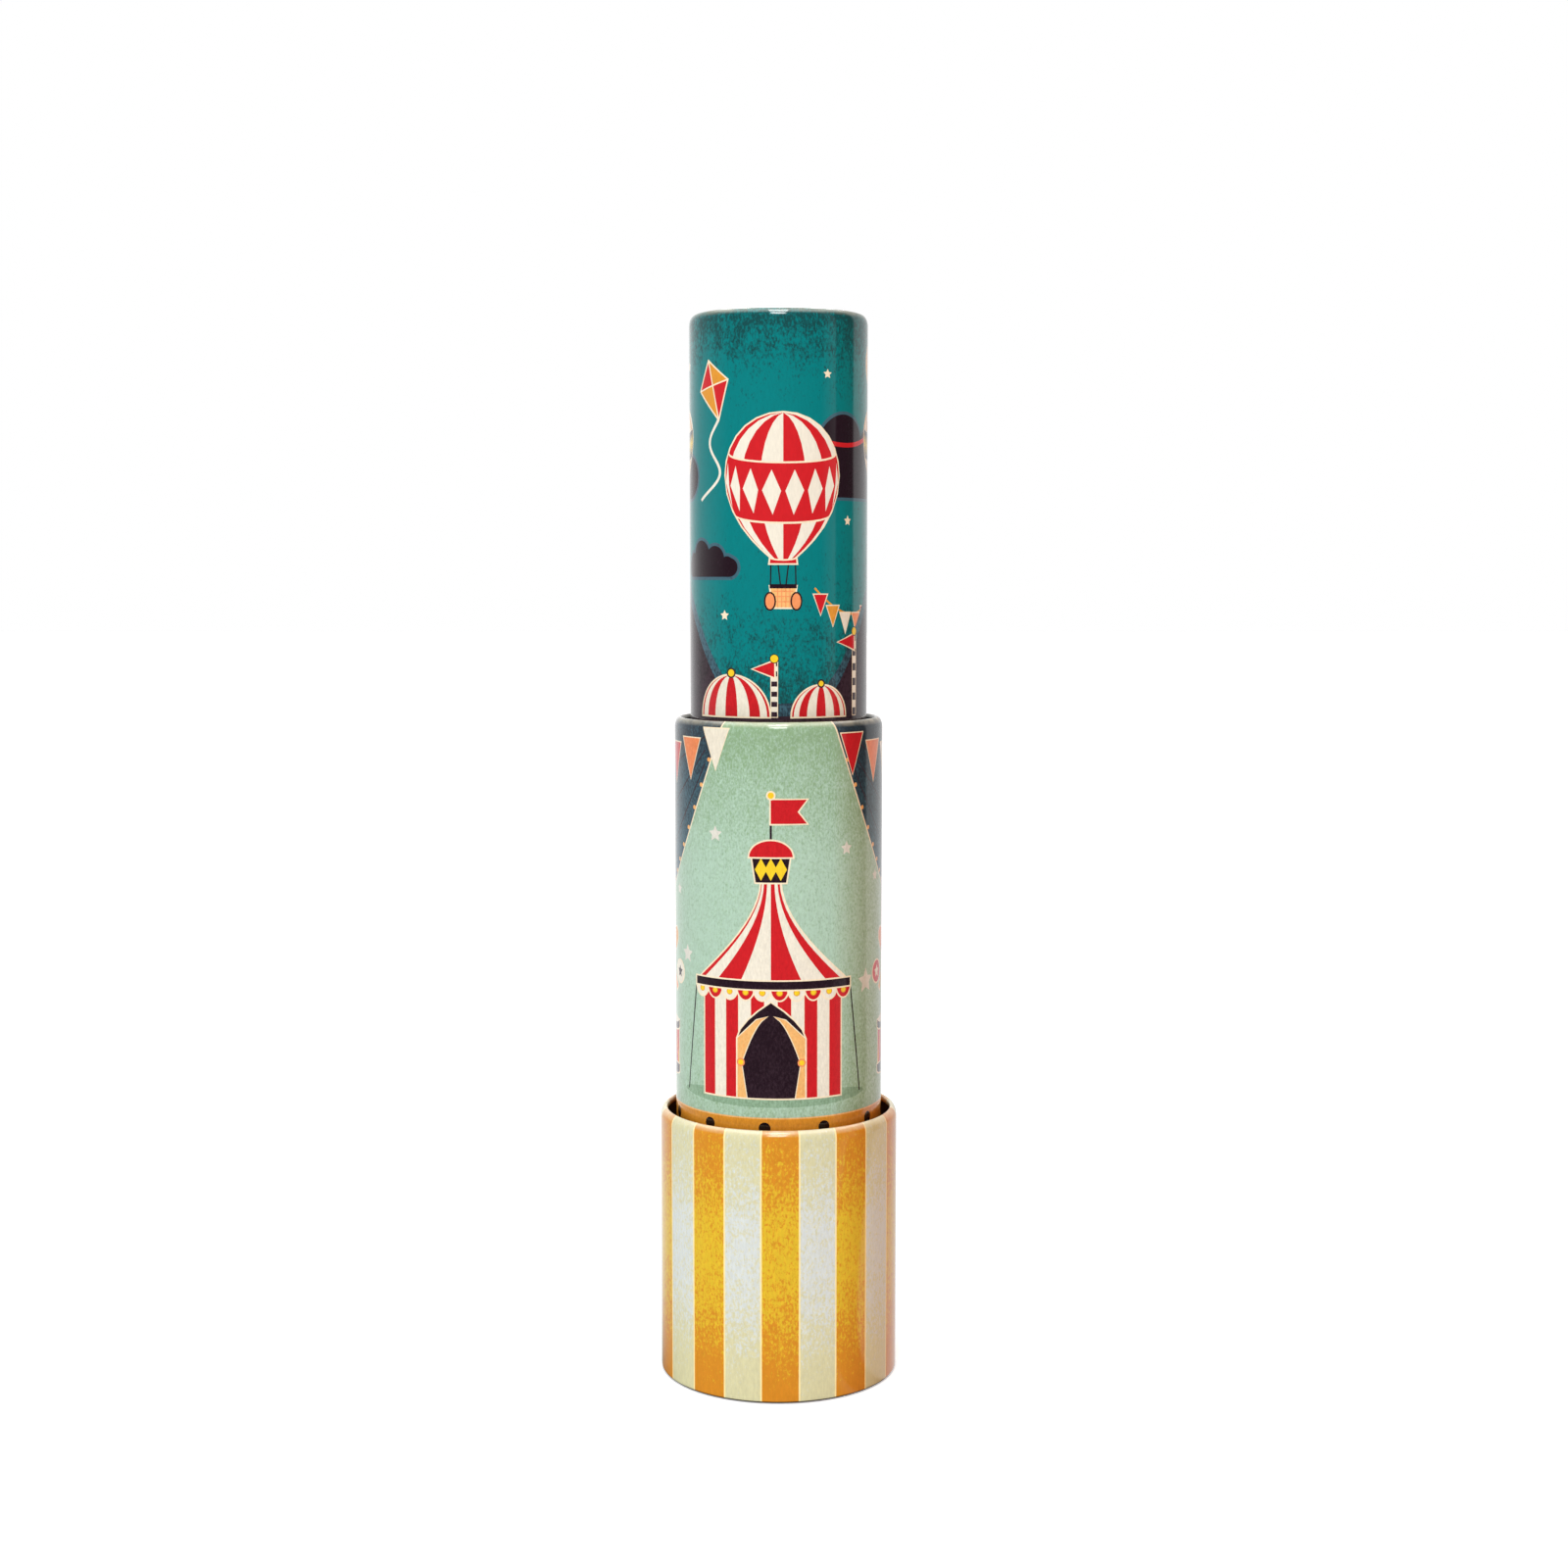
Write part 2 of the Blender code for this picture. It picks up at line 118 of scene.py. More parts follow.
# %% Name the inks
INKS = {
    "teal": ("007B7D", "124B4D", 1.0),
    "night": ("24141E", "5A4450", 0.30),
    "slate": ("3E6472", "27343F", 1.0),
    "red": ("CC1F26", "A8141C", 0.4),
    "cream": ("EBE5D4", "D6CBB2", 0.35),
    "key": ("F3E3C4", "E9CFA4", 0.2),
    "tan": ("EFBA74", "E08F4A", 0.6),
    "peach": ("EE9660", "DE7440", 0.7),
    "orange": ("DD952E", "BE7420", 0.6),
    "yellow": ("F3CF2C", "E8A628", 0.4),
    "mint": ("AFCCB8", "8AA984", 1.0),
    "sage": ("93B397", "6C8A6C", 0.8),
    "pale": ("DDDBD0", "C3BFB2", 0.5),
    "dots": ("150A0D", "150A0D", 0.0),
    "stripe orange": ("D48B26", "DFBB30", 1.0),
    "stripe cream": ("D5D2A8", "D5DCDA", 1.0),
    "stripe edge": ("FBE8A6", "FBE8A6", 0.0),
}
print(len(INKS), "inks")

# %% [markdown]
# ## Drawing on the flat
# A tin tube is printed as a flat sheet and rolled afterwards, so the artwork here is drawn flat
# too: across is the distance round the tube from the middle of its front, and up is the height
# above the floor. A print is a list of closed outlines, from the back layer to the front one.


# %% Basic outlines
POINT_SPACING = 0.0006
FEWEST_POINTS = 14


def ellipse(across, up, wide, tall, first=0, last=360):
    """A whole ellipse, or the arc of one from its first to its last angle in degrees."""
    length = (wide + tall) * math.pi / 2
    steps = max(FEWEST_POINTS, round(length / POINT_SPACING * (last - first) / 360))
    turns = [math.radians(first + (last - first) * i / steps) for i in range(steps + 1)]
    if last - first == 360:
        turns.pop()
    return [(across + wide / 2 * math.cos(t), up + tall / 2 * math.sin(t)) for t in turns]


def dot(across, up, size):
    """A disc."""
    return ellipse(across, up, size, size)


def block(left, low, right, high):
    """An upright rectangle."""
    return [(left, low), (right, low), (right, high), (left, high)]


def star(across, up, size, tips=5, notch=0.5):
    """A star with one tip straight up, and its notches at a share of its reach."""
    reaches = [size / 2, size / 2 * notch] * tips
    turns = [math.radians(90) + math.pi * i / tips for i in range(2 * tips)]
    return [(across + r * math.cos(t), up + r * math.sin(t)) for r, t in zip(reaches, turns)]


def ribbon(path, width):
    """A strip of one width along a path of points."""
    left, right = [], []
    for i, here in enumerate(path):
        before, after = Vector(path[max(0, i - 1)]), Vector(path[min(len(path) - 1, i + 1)])
        side = (after - before).normalized().orthogonal() * width / 2
        left.append(tuple(Vector(here) + side))
        right.append(tuple(Vector(here) - side))
    return left + right[::-1]


def turned(outline, centre, degrees):
    """The outline, turned about a point."""
    turn = Matrix.Rotation(math.radians(degrees), 2)
    return [tuple(turn @ (Vector(p) - Vector(centre)) + Vector(centre)) for p in outline]


def grown(outline, margin):
    """The outline with every side moved out by a margin, for a border behind a shape."""
    area = sum(a[0] * b[1] - b[0] * a[1] for a, b in zip(outline, outline[1:] + outline[:1]))
    out = []
    for before, here, after in zip(outline[-1:] + outline, outline, outline[1:] + outline[:1]):
        a = (Vector(here) - Vector(before)).normalized()
        b = (Vector(after) - Vector(here)).normalized()
        push = Vector((a.y + b.y, -a.x - b.x)) * math.copysign(1, area)
        reach = max(push.length_squared / 2, 0.5)
        out.append(tuple(Vector(here) + push / reach * margin))
    return out


print("a disc 3 mm across is drawn with", len(dot(0, 0, 0.003)), "points")

# %% [markdown]
# Cheap offset printing never lines its plates up quite right, and a pale line of bare ground
# shows round most shapes. It gives the prints their crisp look, so shapes can ask for it.

# %% Add shapes to a print
KEY_LINE = 0.00032


def lay(layers, ink, *outlines):
    """Shapes in one ink, over what is there."""
    layers.extend((ink, outline) for outline in outlines)


def lay_keyed(layers, ink, *outlines, key="key", line=KEY_LINE):
    """Shapes in one ink with a pale line round them all."""
    lay(layers, key, *[grown(outline, line) for outline in outlines])
    lay(layers, ink, *outlines)


def count_shapes(draw, *values):
    """How many shapes a drawing function lays, counted on a spare sheet."""
    spare = []
    draw(spare, *values)
    return len(spare)


print("a square with its pale line is", count_shapes(lay_keyed, "red", block(0, 0, 1, 1)), "shapes")

# %% [markdown]
# ## A hot-air balloon
# The upper tube shows balloons. A balloon is a ball of cloth panels over a tapering foot, seen a
# little from below, so one formula gives any point on it: how far round the cloth, and how far
# up. Panels, belt and lozenges are then all cut from the same formula and always fit.


# %% Draw a balloon
PANELS = 8
FOOT_SHARES = (0.20, 1.34)  # the mouth's half width and its depth, of the ball's radius
BASKET_SHARES = (0.42, 0.34)    # its width and height, of the ball's radius
SAG_SHARE = 0.16            # how much the near side of a level line dips
CROWN = 0.999               # just short of the top, where the panels would meet in one point
LOZENGE = ((0, -0.25), (0.82, -0.05), (0, 0.15), (-0.82, -0.05))    # (panels across, way up)


def cloth_side(way):
    """The cloth's half width and height, of the ball's radius. Way is -1 at the mouth, 1 on top."""
    turn = way * math.pi / 2
    if way >= 0:
        return math.cos(turn), math.sin(turn)
    mouth, depth = FOOT_SHARES
    return mouth + (1 - mouth) * math.cos(turn) ** 2, depth * math.sin(turn)


def on_cloth(across, up, radius, round_way, way):
    """A point on the cloth: round_way is -1 at its left edge and 1 at its right one."""
    wide, tall = cloth_side(way)
    turn = round_way * math.pi / 2
    dip = SAG_SHARE * wide * math.cos(turn)
    return across + radius * wide * math.sin(turn), up + radius * (tall - dip)


def cloth_patch(across, up, radius, left, right, low, high):
    """The patch of cloth between two ways round and two ways up."""
    steps = 14
    ways = [low + (high - low) * i / steps for i in range(steps + 1)]
    rounds = [left + (right - left) * i / steps for i in range(1, steps)]
    edge = [on_cloth(across, up, radius, right, w) for w in ways]
    edge += [on_cloth(across, up, radius, r, high) for r in rounds[::-1]]
    edge += [on_cloth(across, up, radius, left, w) for w in ways[::-1]]
    return edge + [on_cloth(across, up, radius, r, low) for r in rounds]


def basket(layers, across, top, radius):
    """A woven basket under a dark rail."""
    wide, tall = (share * radius for share in BASKET_SHARES)
    bottom, taper, cane = top - tall, 0.10 * wide, 0.018 * radius
    left, right = across - wide / 2, across + wide / 2
    lay_keyed(layers, "tan", [(left + taper, bottom), (right - taper, bottom), (right, top), (left, top)])
    for row in range(1, 4):
        level = bottom + tall * row / 4
        lay(layers, "peach", block(left + taper, level, right - taper, level + cane))
    for post in range(1, 5):
        place = left + taper + (wide - 2 * taper) * post / 5
        lay(layers, "peach", block(place, bottom, place + cane, top))
    spare = 0.3 * taper
    lay(layers, "night", block(left - spare, top - 0.03 * radius, right + spare, top + 0.04 * radius))


def balloon(layers, across, up, radius, cloth_inks, belt_ink, lozenge_ink):
    """A balloon whose ball is centred there, with its ropes, basket and two sandbags."""
    mouth, depth = (share * radius for share in FOOT_SHARES)
    basket_wide, basket_tall = (share * radius for share in BASKET_SHARES)
    foot = up - depth
    basket_top = foot - 0.48 * radius
    for side in (-1, 1):
        rope = [(across + side * mouth, foot), (across + side * basket_wide / 2, basket_top)]
        lay(layers, "night", ribbon(rope, 0.022 * radius))
        hang = [(across + side * 0.5 * mouth, foot), (across + side * 0.1 * basket_wide, basket_top)]
        lay(layers, "night", ribbon(hang, 0.022 * radius))
    basket(layers, across, basket_top, radius)
    hem, waist = foot - 0.1 * radius, foot + 0.06 * radius
    skirt = [(across - 1.1 * mouth, hem), (across + 1.1 * mouth, hem)]
    lay_keyed(layers, belt_ink, skirt + [(across + mouth, waist), (across - mouth, waist)])
    lay(layers, "key", grown(cloth_patch(across, up, radius, -1, 1, -1, CROWN), KEY_LINE))
    for i in range(PANELS):
        left_way, right_way = -1 + 2 * i / PANELS, -1 + 2 * (i + 1) / PANELS
        patch = cloth_patch(across, up, radius, left_way, right_way, -1, CROWN)
        lay(layers, cloth_inks[i % len(cloth_inks)], patch)
    lay(layers, "key", cloth_patch(across, up, radius, -1, 1, -0.335, 0.235))
    lay(layers, belt_ink, cloth_patch(across, up, radius, -1, 1, -0.315, 0.215))
    for i in range(PANELS):
        middle = -1 + (2 * i + 1) / PANELS
        corners = [(middle + step / PANELS, way) for step, way in LOZENGE]
        lay(layers, lozenge_ink, [on_cloth(across, up, radius, r, w) for r, w in corners])
    low = basket_top - basket_tall + 0.10 * radius
    for side in (-1, 1):
        bag = ellipse(across + side * 0.52 * basket_wide, low, 0.15 * radius, 0.26 * radius)
        lay_keyed(layers, "peach", bag, key="night")


print("a balloon is", count_shapes(balloon, 0, 0, 0.01, ("red", "cream"), "red", "cream"), "shapes")

# %% [markdown]
# ## Sky and hills
# Round the balloons go dark clouds, kites, crescent moons, stars and strings of pennants. Along
# the foot run dark hills, whose height follows a cosine so that both ends of the sheet meet.


# %% Draw the sky
CLOUD_LOBES = ((-0.34, 0.10, 0.26), (-0.12, 0.20, 0.36), (0.16, 0.15, 0.32), (0.36, 0.07, 0.22))


def cloud(layers, across, up, wide, ink):
    """A flat-footed cloud: lobes are (place, height, size) as shares of its width."""
    shapes = [dot(across + x * wide, up + z * wide, size * wide) for x, z, size in CLOUD_LOBES]
    foot = 0.16 * wide
    shapes += [block(across - 0.40 * wide, up - foot / 2, across + 0.40 * wide, up + foot)]
    shapes += [dot(across + end * 0.40 * wide, up + foot / 4, 1.5 * foot) for end in (-1, 1)]
    lay_keyed(layers, ink, *shapes, key="slate", line=2 * KEY_LINE)


def moon(layers, across, up, size):
    """A crescent, its horns to the right."""
    outer = ellipse(across, up, size, size, 60, 300)
    inner = ellipse(across + 0.20 * size, up, 0.72 * size, 0.86 * size, 75, 285)
    lay_keyed(layers, "tan", outer + inner[::-1])


def kite(layers, across, up, size):
    """A lozenge kite with a cross of spars, and a tail that waves as it falls."""
    tips = [(0, 0.62), (0.42, 0.10), (0, -0.62), (-0.42, 0.10)]
    placed = [(across + x * size, up + z * size) for x, z in turned(tips, (0, 0), 14)]
    top, right, foot, left = placed
    steps = 60
    ways = [i / steps for i in range(steps + 1)]
    sway = [-0.34 * math.sin(7.0 * w) * w**0.5 - 0.36 * w for w in ways]
    tail = [(foot[0] + s * size, foot[1] - 1.7 * w * size) for s, w in zip(sway, ways)]
    lay(layers, "cream", ribbon(tail, 0.0006))
    lay_keyed(layers, "red", placed)
    crossing = (across, up + 0.10 * size)
    lay(layers, "orange", [top, right, crossing], [foot, left, crossing])
    lay(layers, "key", ribbon([top, foot], 0.0003), ribbon([left, right], 0.0003))


def pennants(layers, path, size, inks, string_ink):
    """Pennants that hang from a string at even steps along its path."""
    lay(layers, string_ink, ribbon(path, 0.0004))
    step = 1.25 * size
    gone, next_one, count = 0.0, step / 2, 0
    for a, b in zip(path, path[1:]):
        length = math.dist(a, b)
        while gone + length > next_one:
            share = (next_one - gone) / length
            x, z = a[0] + (b[0] - a[0]) * share, a[1] + (b[1] - a[1]) * share
            flag = [(x - size / 2, z), (x + size / 2, z), (x, z - 1.35 * size)]
            lay_keyed(layers, inks[count % len(inks)], flag, line=0.7 * KEY_LINE)
            next_one += step
            count += 1
        gone += length


def sagging(left, right, sag):
    """A string's path between two points, hanging in a bow."""
    steps = 24
    ways = [i / steps for i in range(steps + 1)]
    run, rise = right[0] - left[0], right[1] - left[1]
    return [(left[0] + run * w, left[1] + rise * w - 4 * sag * w * (1 - w)) for w in ways]


def ridge(width, low, height, sharpness):
    """Hills with a peak at each side of the tube, and a dip in front and behind."""
    steps = 120
    places = [width * (i / steps - 0.5) for i in range(steps + 1)]
    waves = [0.5 - 0.5 * math.cos(2 * math.tau * p / width) for p in places]
    tops = [low + height * wave**sharpness for wave in waves]
    return [(-width / 2, 0), (width / 2, 0)] + list(zip(places, tops))[::-1]


print("a cloud is", count_shapes(cloud, 0, 0, 0.03, "night"), "shapes")
print("a kite is", count_shapes(kite, 0, 0, 0.01), "shapes")

# %% [markdown]
# ## The big top
# The middle tube shows a show tent. Its roof hangs in a hollow curve from the pole, so it is cut
# into panels by the same idea as the balloon: a width for each height, and panels round it.


# %% Draw the tent
ROOF_PANELS = 8
WALL_STRIPES = 11
EAVE_SCALLOPS = 10


def roof_patch(across, eaves, half, tall, left, right):
    """One panel of the roof, between two ways round it, from the eaves to the crown."""
    steps = 12
    ways = [i / steps for i in range(steps + 1)]
    sides = [(half * (0.11 + 0.89 * (1 - w) ** 1.75), eaves + tall * w) for w in ways]
    a, b = math.sin(left * math.pi / 2), math.sin(right * math.pi / 2)
    edge = [(across + reach * b, level) for reach, level in sides]
    return edge + [(across + reach * a, level) for reach, level in sides[::-1]]


def big_top(layers, across, ground, wide, inks):
    """A tent of that width at its eaves, standing on the ground line."""
    red, pale = inks
    half = wide / 2
    wall_half, wall_tall = 0.86 * half, 0.66 * wide
    eaves = ground + wall_tall
    roof_tall = 0.60 * wide
    lay(layers, "sage", ellipse(across, ground, 1.24 * wide, 0.11 * wide))
    for side in (-1, 1):
        rope = [(across + side * half, eaves), (across + side * 1.17 * half, ground)]
        lay(layers, "night", ribbon(rope, 0.010 * wide))
    walls = block(across - wall_half, ground, across + wall_half, eaves)
    lay(layers, "key", grown(walls, KEY_LINE))
    each = 2 * wall_half / WALL_STRIPES
    for i in range(WALL_STRIPES):
        left = across - wall_half + 2 * wall_half * i / WALL_STRIPES
        spare = (0.0, 0.06)[i % 2] * wall_half / WALL_STRIPES
        lay(layers, (red, pale)[i % 2], block(left + spare, ground, left + each - spare, eaves))
    doorway(layers, across, ground, 0.40 * wide, 0.56 * wide)
    lay(layers, "key", grown(roof_patch(across, eaves, half, roof_tall, -1, 1), KEY_LINE))
    for i in range(ROOF_PANELS):
        left, right = -1 + 2 * i / ROOF_PANELS, -1 + 2 * (i + 1) / ROOF_PANELS
        lay(layers, (red, pale)[i % 2], roof_patch(across, eaves, half, roof_tall, left, right))
    valance(layers, across, eaves, half)
    lantern(layers, across, eaves + roof_tall, 0.22 * wide)


def doorway(layers, across, ground, wide, tall):
    """A dark pointed doorway between two tied curtains."""
    half, spring = wide / 2, ground + 0.62 * tall
    curve = [(half * (1 - w**1.6), ground + tall * (0.62 + 0.38 * w)) for w in (0.25, 0.5, 0.75, 1)]
    arch = [(across - half, ground), (across + half, ground), (across + half, spring)]
    arch += [(across + x, z) for x, z in curve]
    arch += [(across - x, z) for x, z in curve[-2::-1]]
    lay_keyed(layers, "night", arch + [(across - half, spring)])
    ways = [i / 10 for i in range(11)]
    for reach in (-half, half):
        inner = [(across + reach * (0.08 + 0.80 * w**0.6), ground + tall * (0.86 - 0.50 * w)) for w in ways]
        inner += [(across + reach * (0.88 - 0.16 * w), ground + tall * 0.36 * (1 - w)) for w in ways[1:]]
        outer = [(across + reach, ground), (across + reach, spring)]
        outer += [(across + reach * 0.42, ground + 0.82 * tall)]
        lay_keyed(layers, "tan", inner + outer, line=0.6 * KEY_LINE)
        tie = dot(across + reach * 0.90, ground + 0.37 * tall, 0.16 * half)
        lay_keyed(layers, "yellow", tie, key="peach")


def valance(layers, across, eaves, half):
    """The scalloped border of cloth along the eaves, with a button on each scallop."""
    size = 2 * half / EAVE_SCALLOPS
    places = [across - half + size * (i + 0.5) for i in range(EAVE_SCALLOPS)]
    for i, place in enumerate(places):
        scallop = ellipse(place, eaves - 0.1 * size, size, 1.5 * size, 180, 360)
        lay_keyed(layers, ("cream", "red")[i % 2], scallop)
    for place in places:
        button = dot(place, eaves - 0.42 * size, 0.30 * size)
        lay_keyed(layers, "yellow", button, key="orange", line=0.5 * KEY_LINE)
    band = block(across - half, eaves - 0.22 * size, across + half, eaves + 0.24 * size)
    lay_keyed(layers, "night", band)


def lantern(layers, across, foot, wide):
    """The dark lantern at the roof's crown, with lozenges, a ball and a forked flag."""
    half, tall = wide / 2, 0.95 * wide
    shoulder = foot + 0.7 * tall
    pole = block(across - 0.06 * half, foot + 0.6 * tall, across + 0.06 * half, foot + 2.35 * tall)
    lay(layers, "night", pole)
    body = [(across - 0.8 * half, foot), (across + 0.8 * half, foot)]
    lay_keyed(layers, "night", body + [(across + half, shoulder), (across - half, shoulder)])
    for i in (-1, 0, 1):
        lozenge = star(across + 0.52 * half * i, foot + 0.36 * tall, 0.62 * tall, tips=2, notch=0.55)
        lay(layers, "yellow", lozenge)
    lay_keyed(layers, "red", ellipse(across, shoulder, 2.3 * half, 0.9 * tall, 0, 180))
    low, high = foot + 1.62 * tall, foot + 2.28 * tall
    tip, fork = across + 1.9 * half, across + 1.4 * half
    flag = [(across, low), (tip, low), (fork, (low + high) / 2), (tip, high), (across, high)]
    lay_keyed(layers, "red", flag)
    lay_keyed(layers, "yellow", dot(across, foot + 2.4 * tall, 0.34 * half))


print("a show tent is", count_shapes(big_top, 0, 0, 0.03, ("red", "cream")), "shapes")

# %% [markdown]
# ## Curtains, a drum and clubs
# Slate curtains hang from the top of the middle tube at its sides, and under them stand the
# tools of a show: a corded drum, and clubs and balls in the air above it.


# %% Draw the props
CLUB_SIDE = (               # (along, half width) as shares of its length, from its knob
    (-0.50, 0.045), (-0.44, 0.045), (-0.40, 0.028), (-0.08, 0.034),
    (0.14, 0.085), (0.32, 0.115), (0.44, 0.095), (0.50, 0.040),
)
CLUB_BAND = ((0.14, 0.085), (0.24, 0.102), (0.24, -0.102), (0.14, -0.085))
CORD_TURNS = 6


def curtain(layers, across, top, wide, drop):
    """A swag that hangs from the rim, with darker folds and a fringe of dots."""
    steps = 40
    places = [-1 + 2 * i / steps for i in range(steps + 1)]
    edge = [(across + wide / 2 * p, top - drop * (1 - abs(p) ** 1.7)) for p in places]
    past = top + 0.01
    lay_keyed(layers, "slate", edge + [(across + wide / 2, past), (across - wide / 2, past)])
    for depth in (0.28, 0.52, 0.76):
        fold = [(x, top - (top - z) * depth) for x, z in edge]
        lay(layers, "night", ribbon(fold[4:-4], 0.00028))
    for x, z in edge[3:-3:2]:
        lay(layers, "tan", dot(x, z + 0.0009, 0.0009))


def drum(layers, across, ground, wide):
    """A side drum with a zigzag cord."""
    tall, half = 0.72 * wide, wide / 2
    dip = 0.16 * wide
    side = block(across - half, ground, across + half, ground + tall)
    lay_keyed(layers, "red", side, ellipse(across, ground, wide, dip))
    levels = [ground + tall * (0.12 + 0.76 * (i % 2)) for i in range(CORD_TURNS + 1)]
    corners = [(across - half + wide * i / CORD_TURNS, level) for i, level in enumerate(levels)]
    lay(layers, "yellow", ribbon(corners, 0.035 * wide))
    reach = 0.53 * wide
    for level in (ground, ground + tall):
        hoop = ellipse(across, level, 2 * reach, dip)
        lay_keyed(layers, "night", hoop, block(across - reach, level, across + reach, level + 0.1 * wide))
    lay(layers, "cream", ellipse(across, ground + tall + 0.1 * wide, 1.0 * wide, dip))


def club(layers, across, up, long, degrees, ink):
    """A juggling club, centred there and turned."""
    sides = CLUB_SIDE + tuple((x, -y) for x, y in CLUB_SIDE[::-1])
    outline = [(across + x * long, up + y * long) for x, y in sides]
    lay_keyed(layers, ink, turned(outline, (across, up), degrees))
    band = [(across + x * long, up + y * long) for x, y in CLUB_BAND]
    lay(layers, "night", turned(band, (across, up), degrees))


def juggling_ball(layers, across, up, size, ink, badge):
    """A ball with a star on it."""
    lay_keyed(layers, ink, dot(across, up, size))
    lay(layers, badge, star(across, up, 0.62 * size))


print("a drum is", count_shapes(drum, 0, 0, 0.013), "shapes")

# %% [markdown]
# ## Stalls and flagpoles
# Far off, at the foot of the hills, stand striped stalls and banded poles. A stall's roof is a
# dome of equal panels. Seen from the side they narrow towards both edges, as the sine of the way
# round says.


# %% Draw the stalls and flagpoles
STALL_PANELS = 9
POLE = 0.0012
POLE_BANDS = 11


def pavilion(layers, across, ground, wide):
    """The striped dome of a far-off stall, with a finial."""
    tall = 0.50 * wide
    lay(layers, "key", grown(ellipse(across, ground, wide, 2 * tall, 0, 180), KEY_LINE))
    steps = 12
    rise = [math.pi / 2 * k / steps for k in range(steps + 1)]
    for i in range(STALL_PANELS):
        left, right = (wide / 2 * math.sin(math.pi * (k / STALL_PANELS - 0.5)) for k in (i, i + 1))
        edge = [(across + right * math.cos(t), ground + tall * math.sin(t)) for t in rise]
        edge += [(across + left * math.cos(t), ground + tall * math.sin(t)) for t in rise[::-1]]
        lay(layers, ("red", "cream")[i % 2], edge)
    lay_keyed(layers, "yellow", dot(across, ground + tall + 0.03 * wide, 0.09 * wide), key="night")


def flagpole(layers, across, ground, tall, reach):
    """A pole banded in black and cream, with a ball and a flag that reaches to one side."""
    left, right, top = across - POLE / 2, across + POLE / 2, ground + tall
    lay(layers, "key", grown(block(left, ground, right, top), 0.5 * KEY_LINE))
    for i in range(POLE_BANDS):
        low, high = ground + tall * i / POLE_BANDS, ground + tall * (i + 1) / POLE_BANDS
        lay(layers, ("night", "cream")[i % 2], block(left, low, right, high))
    lay_keyed(layers, "red", [(across, top - 0.0032), (across + reach, top - 0.0016), (across, top)])
    lay_keyed(layers, "yellow", dot(across, top + 0.0005, 0.0016), key="night", line=0.5 * KEY_LINE)


print("a stall is", count_shapes(pavilion, 0, 0, 0.016), "shapes")

# %% [markdown]
# ## The three prints
# Each print fills its sheet right round. The front and back repeat, because a toy like this is
# seen from both sides, and the quarters between them hold the smaller things.


# %% Compose the upper tube's print
DRAW_GROUND = 0.1397
DRAW_STARS = (              # (quarters across, height, size)
    (-0.90, 0.2105, 0.0026), (0.92, 0.2110, 0.0024), (0.36, 0.2080, 0.0020),
    (-0.40, 0.1600, 0.0022), (0.55, 0.1790, 0.0022),
)


def draw_print(width):
    """Balloons, kites and clouds over night hills, with stalls and flagpoles at their foot."""
    quarter = width / 4
    layers = []
    for centre in (-2 * quarter, 0, 2 * quarter):
        cloud(layers, centre + 0.66 * quarter, 0.1865, 0.036, "night")
        cloud(layers, centre - 0.58 * quarter, 0.1690, 0.016, "night")
        kite(layers, centre - 0.50 * quarter, 0.2050, 0.0095)
        rope = sagging((centre + 0.10 * quarter, 0.1975), (centre + 1.1 * quarter, 0.2010), 0.0050)
        lay(layers, "red", ribbon(rope, 0.0009))
        string = sagging((centre + 0.26 * quarter, 0.1655), (centre + 0.92 * quarter, 0.1650), 0.0050)
        pennants(layers, string, 0.0030, ("red", "orange", "cream", "peach"), "orange")
        for x, z, size in DRAW_STARS:
            lay(layers, "key", star(centre + x * quarter, z, size))
    lay(layers, "slate", ridge(width, 0.1424, 0.0245, 1.5))
    # Below the hills the night ground runs to the foot. Its strip just above the barrel's rim is partly
    # print and partly a painted shadow of the gap where the draw tube leaves the barrel.
    lay(layers, "night", ridge(width, 0.1398, 0.0240, 1.6))
    lay(layers, "night", block(-width / 2, 0, width / 2, DRAW_GROUND))
    for centre in (-quarter, quarter):
        moon(layers, centre, 0.2110, 0.0085)
        balloon(layers, centre, 0.1960, 0.0060, ("orange", "cream"), "night", "yellow")
    for centre in (-2 * quarter, 0, 2 * quarter):
        flagpole(layers, centre - 0.0008, DRAW_GROUND, 0.0112, -0.0044)
        flagpole(layers, centre + 0.0183, DRAW_GROUND, 0.0165, -0.0052)
        pavilion(layers, centre - 0.0100, DRAW_GROUND, 0.0165)
        pavilion(layers, centre + 0.0090, DRAW_GROUND, 0.0125)
        balloon(layers, centre + 0.0010, 0.1880, 0.0122, ("red", "cream"), "red", "cream")
    return layers


print("the upper tube's print is", len(draw_print(math.tau * DRAW_RADIUS)), "shapes")

# %% Compose the middle tube's print
BORDER_TOP = 0.0582
BORDER_LINE = 0.0003
BORDER_DOTS = 11
BORDER_DOT = 0.0025
BORDER_DOT_LEVEL = 0.0563
BORDER_START = 0.0034       # from the sheet's left edge to the middle of the first dot
BARREL_STARS = (            # (quarters across, height, size)
    (0.62, 0.0850, 0.0054), (-0.66, 0.0905, 0.0040), (0.44, 0.1130, 0.0030),
    (-0.40, 0.1160, 0.0034), (0.74, 0.1065, 0.0026), (-0.78, 0.1035, 0.0026),
)
JUGGLED = (                 # (across, height, ink, star's ink) of the balls
    (-0.0076, 0.0862, "red", "cream"), (0.0, 0.0970, "yellow", "red"), (0.0076, 0.0862, "cream", "night"),
)


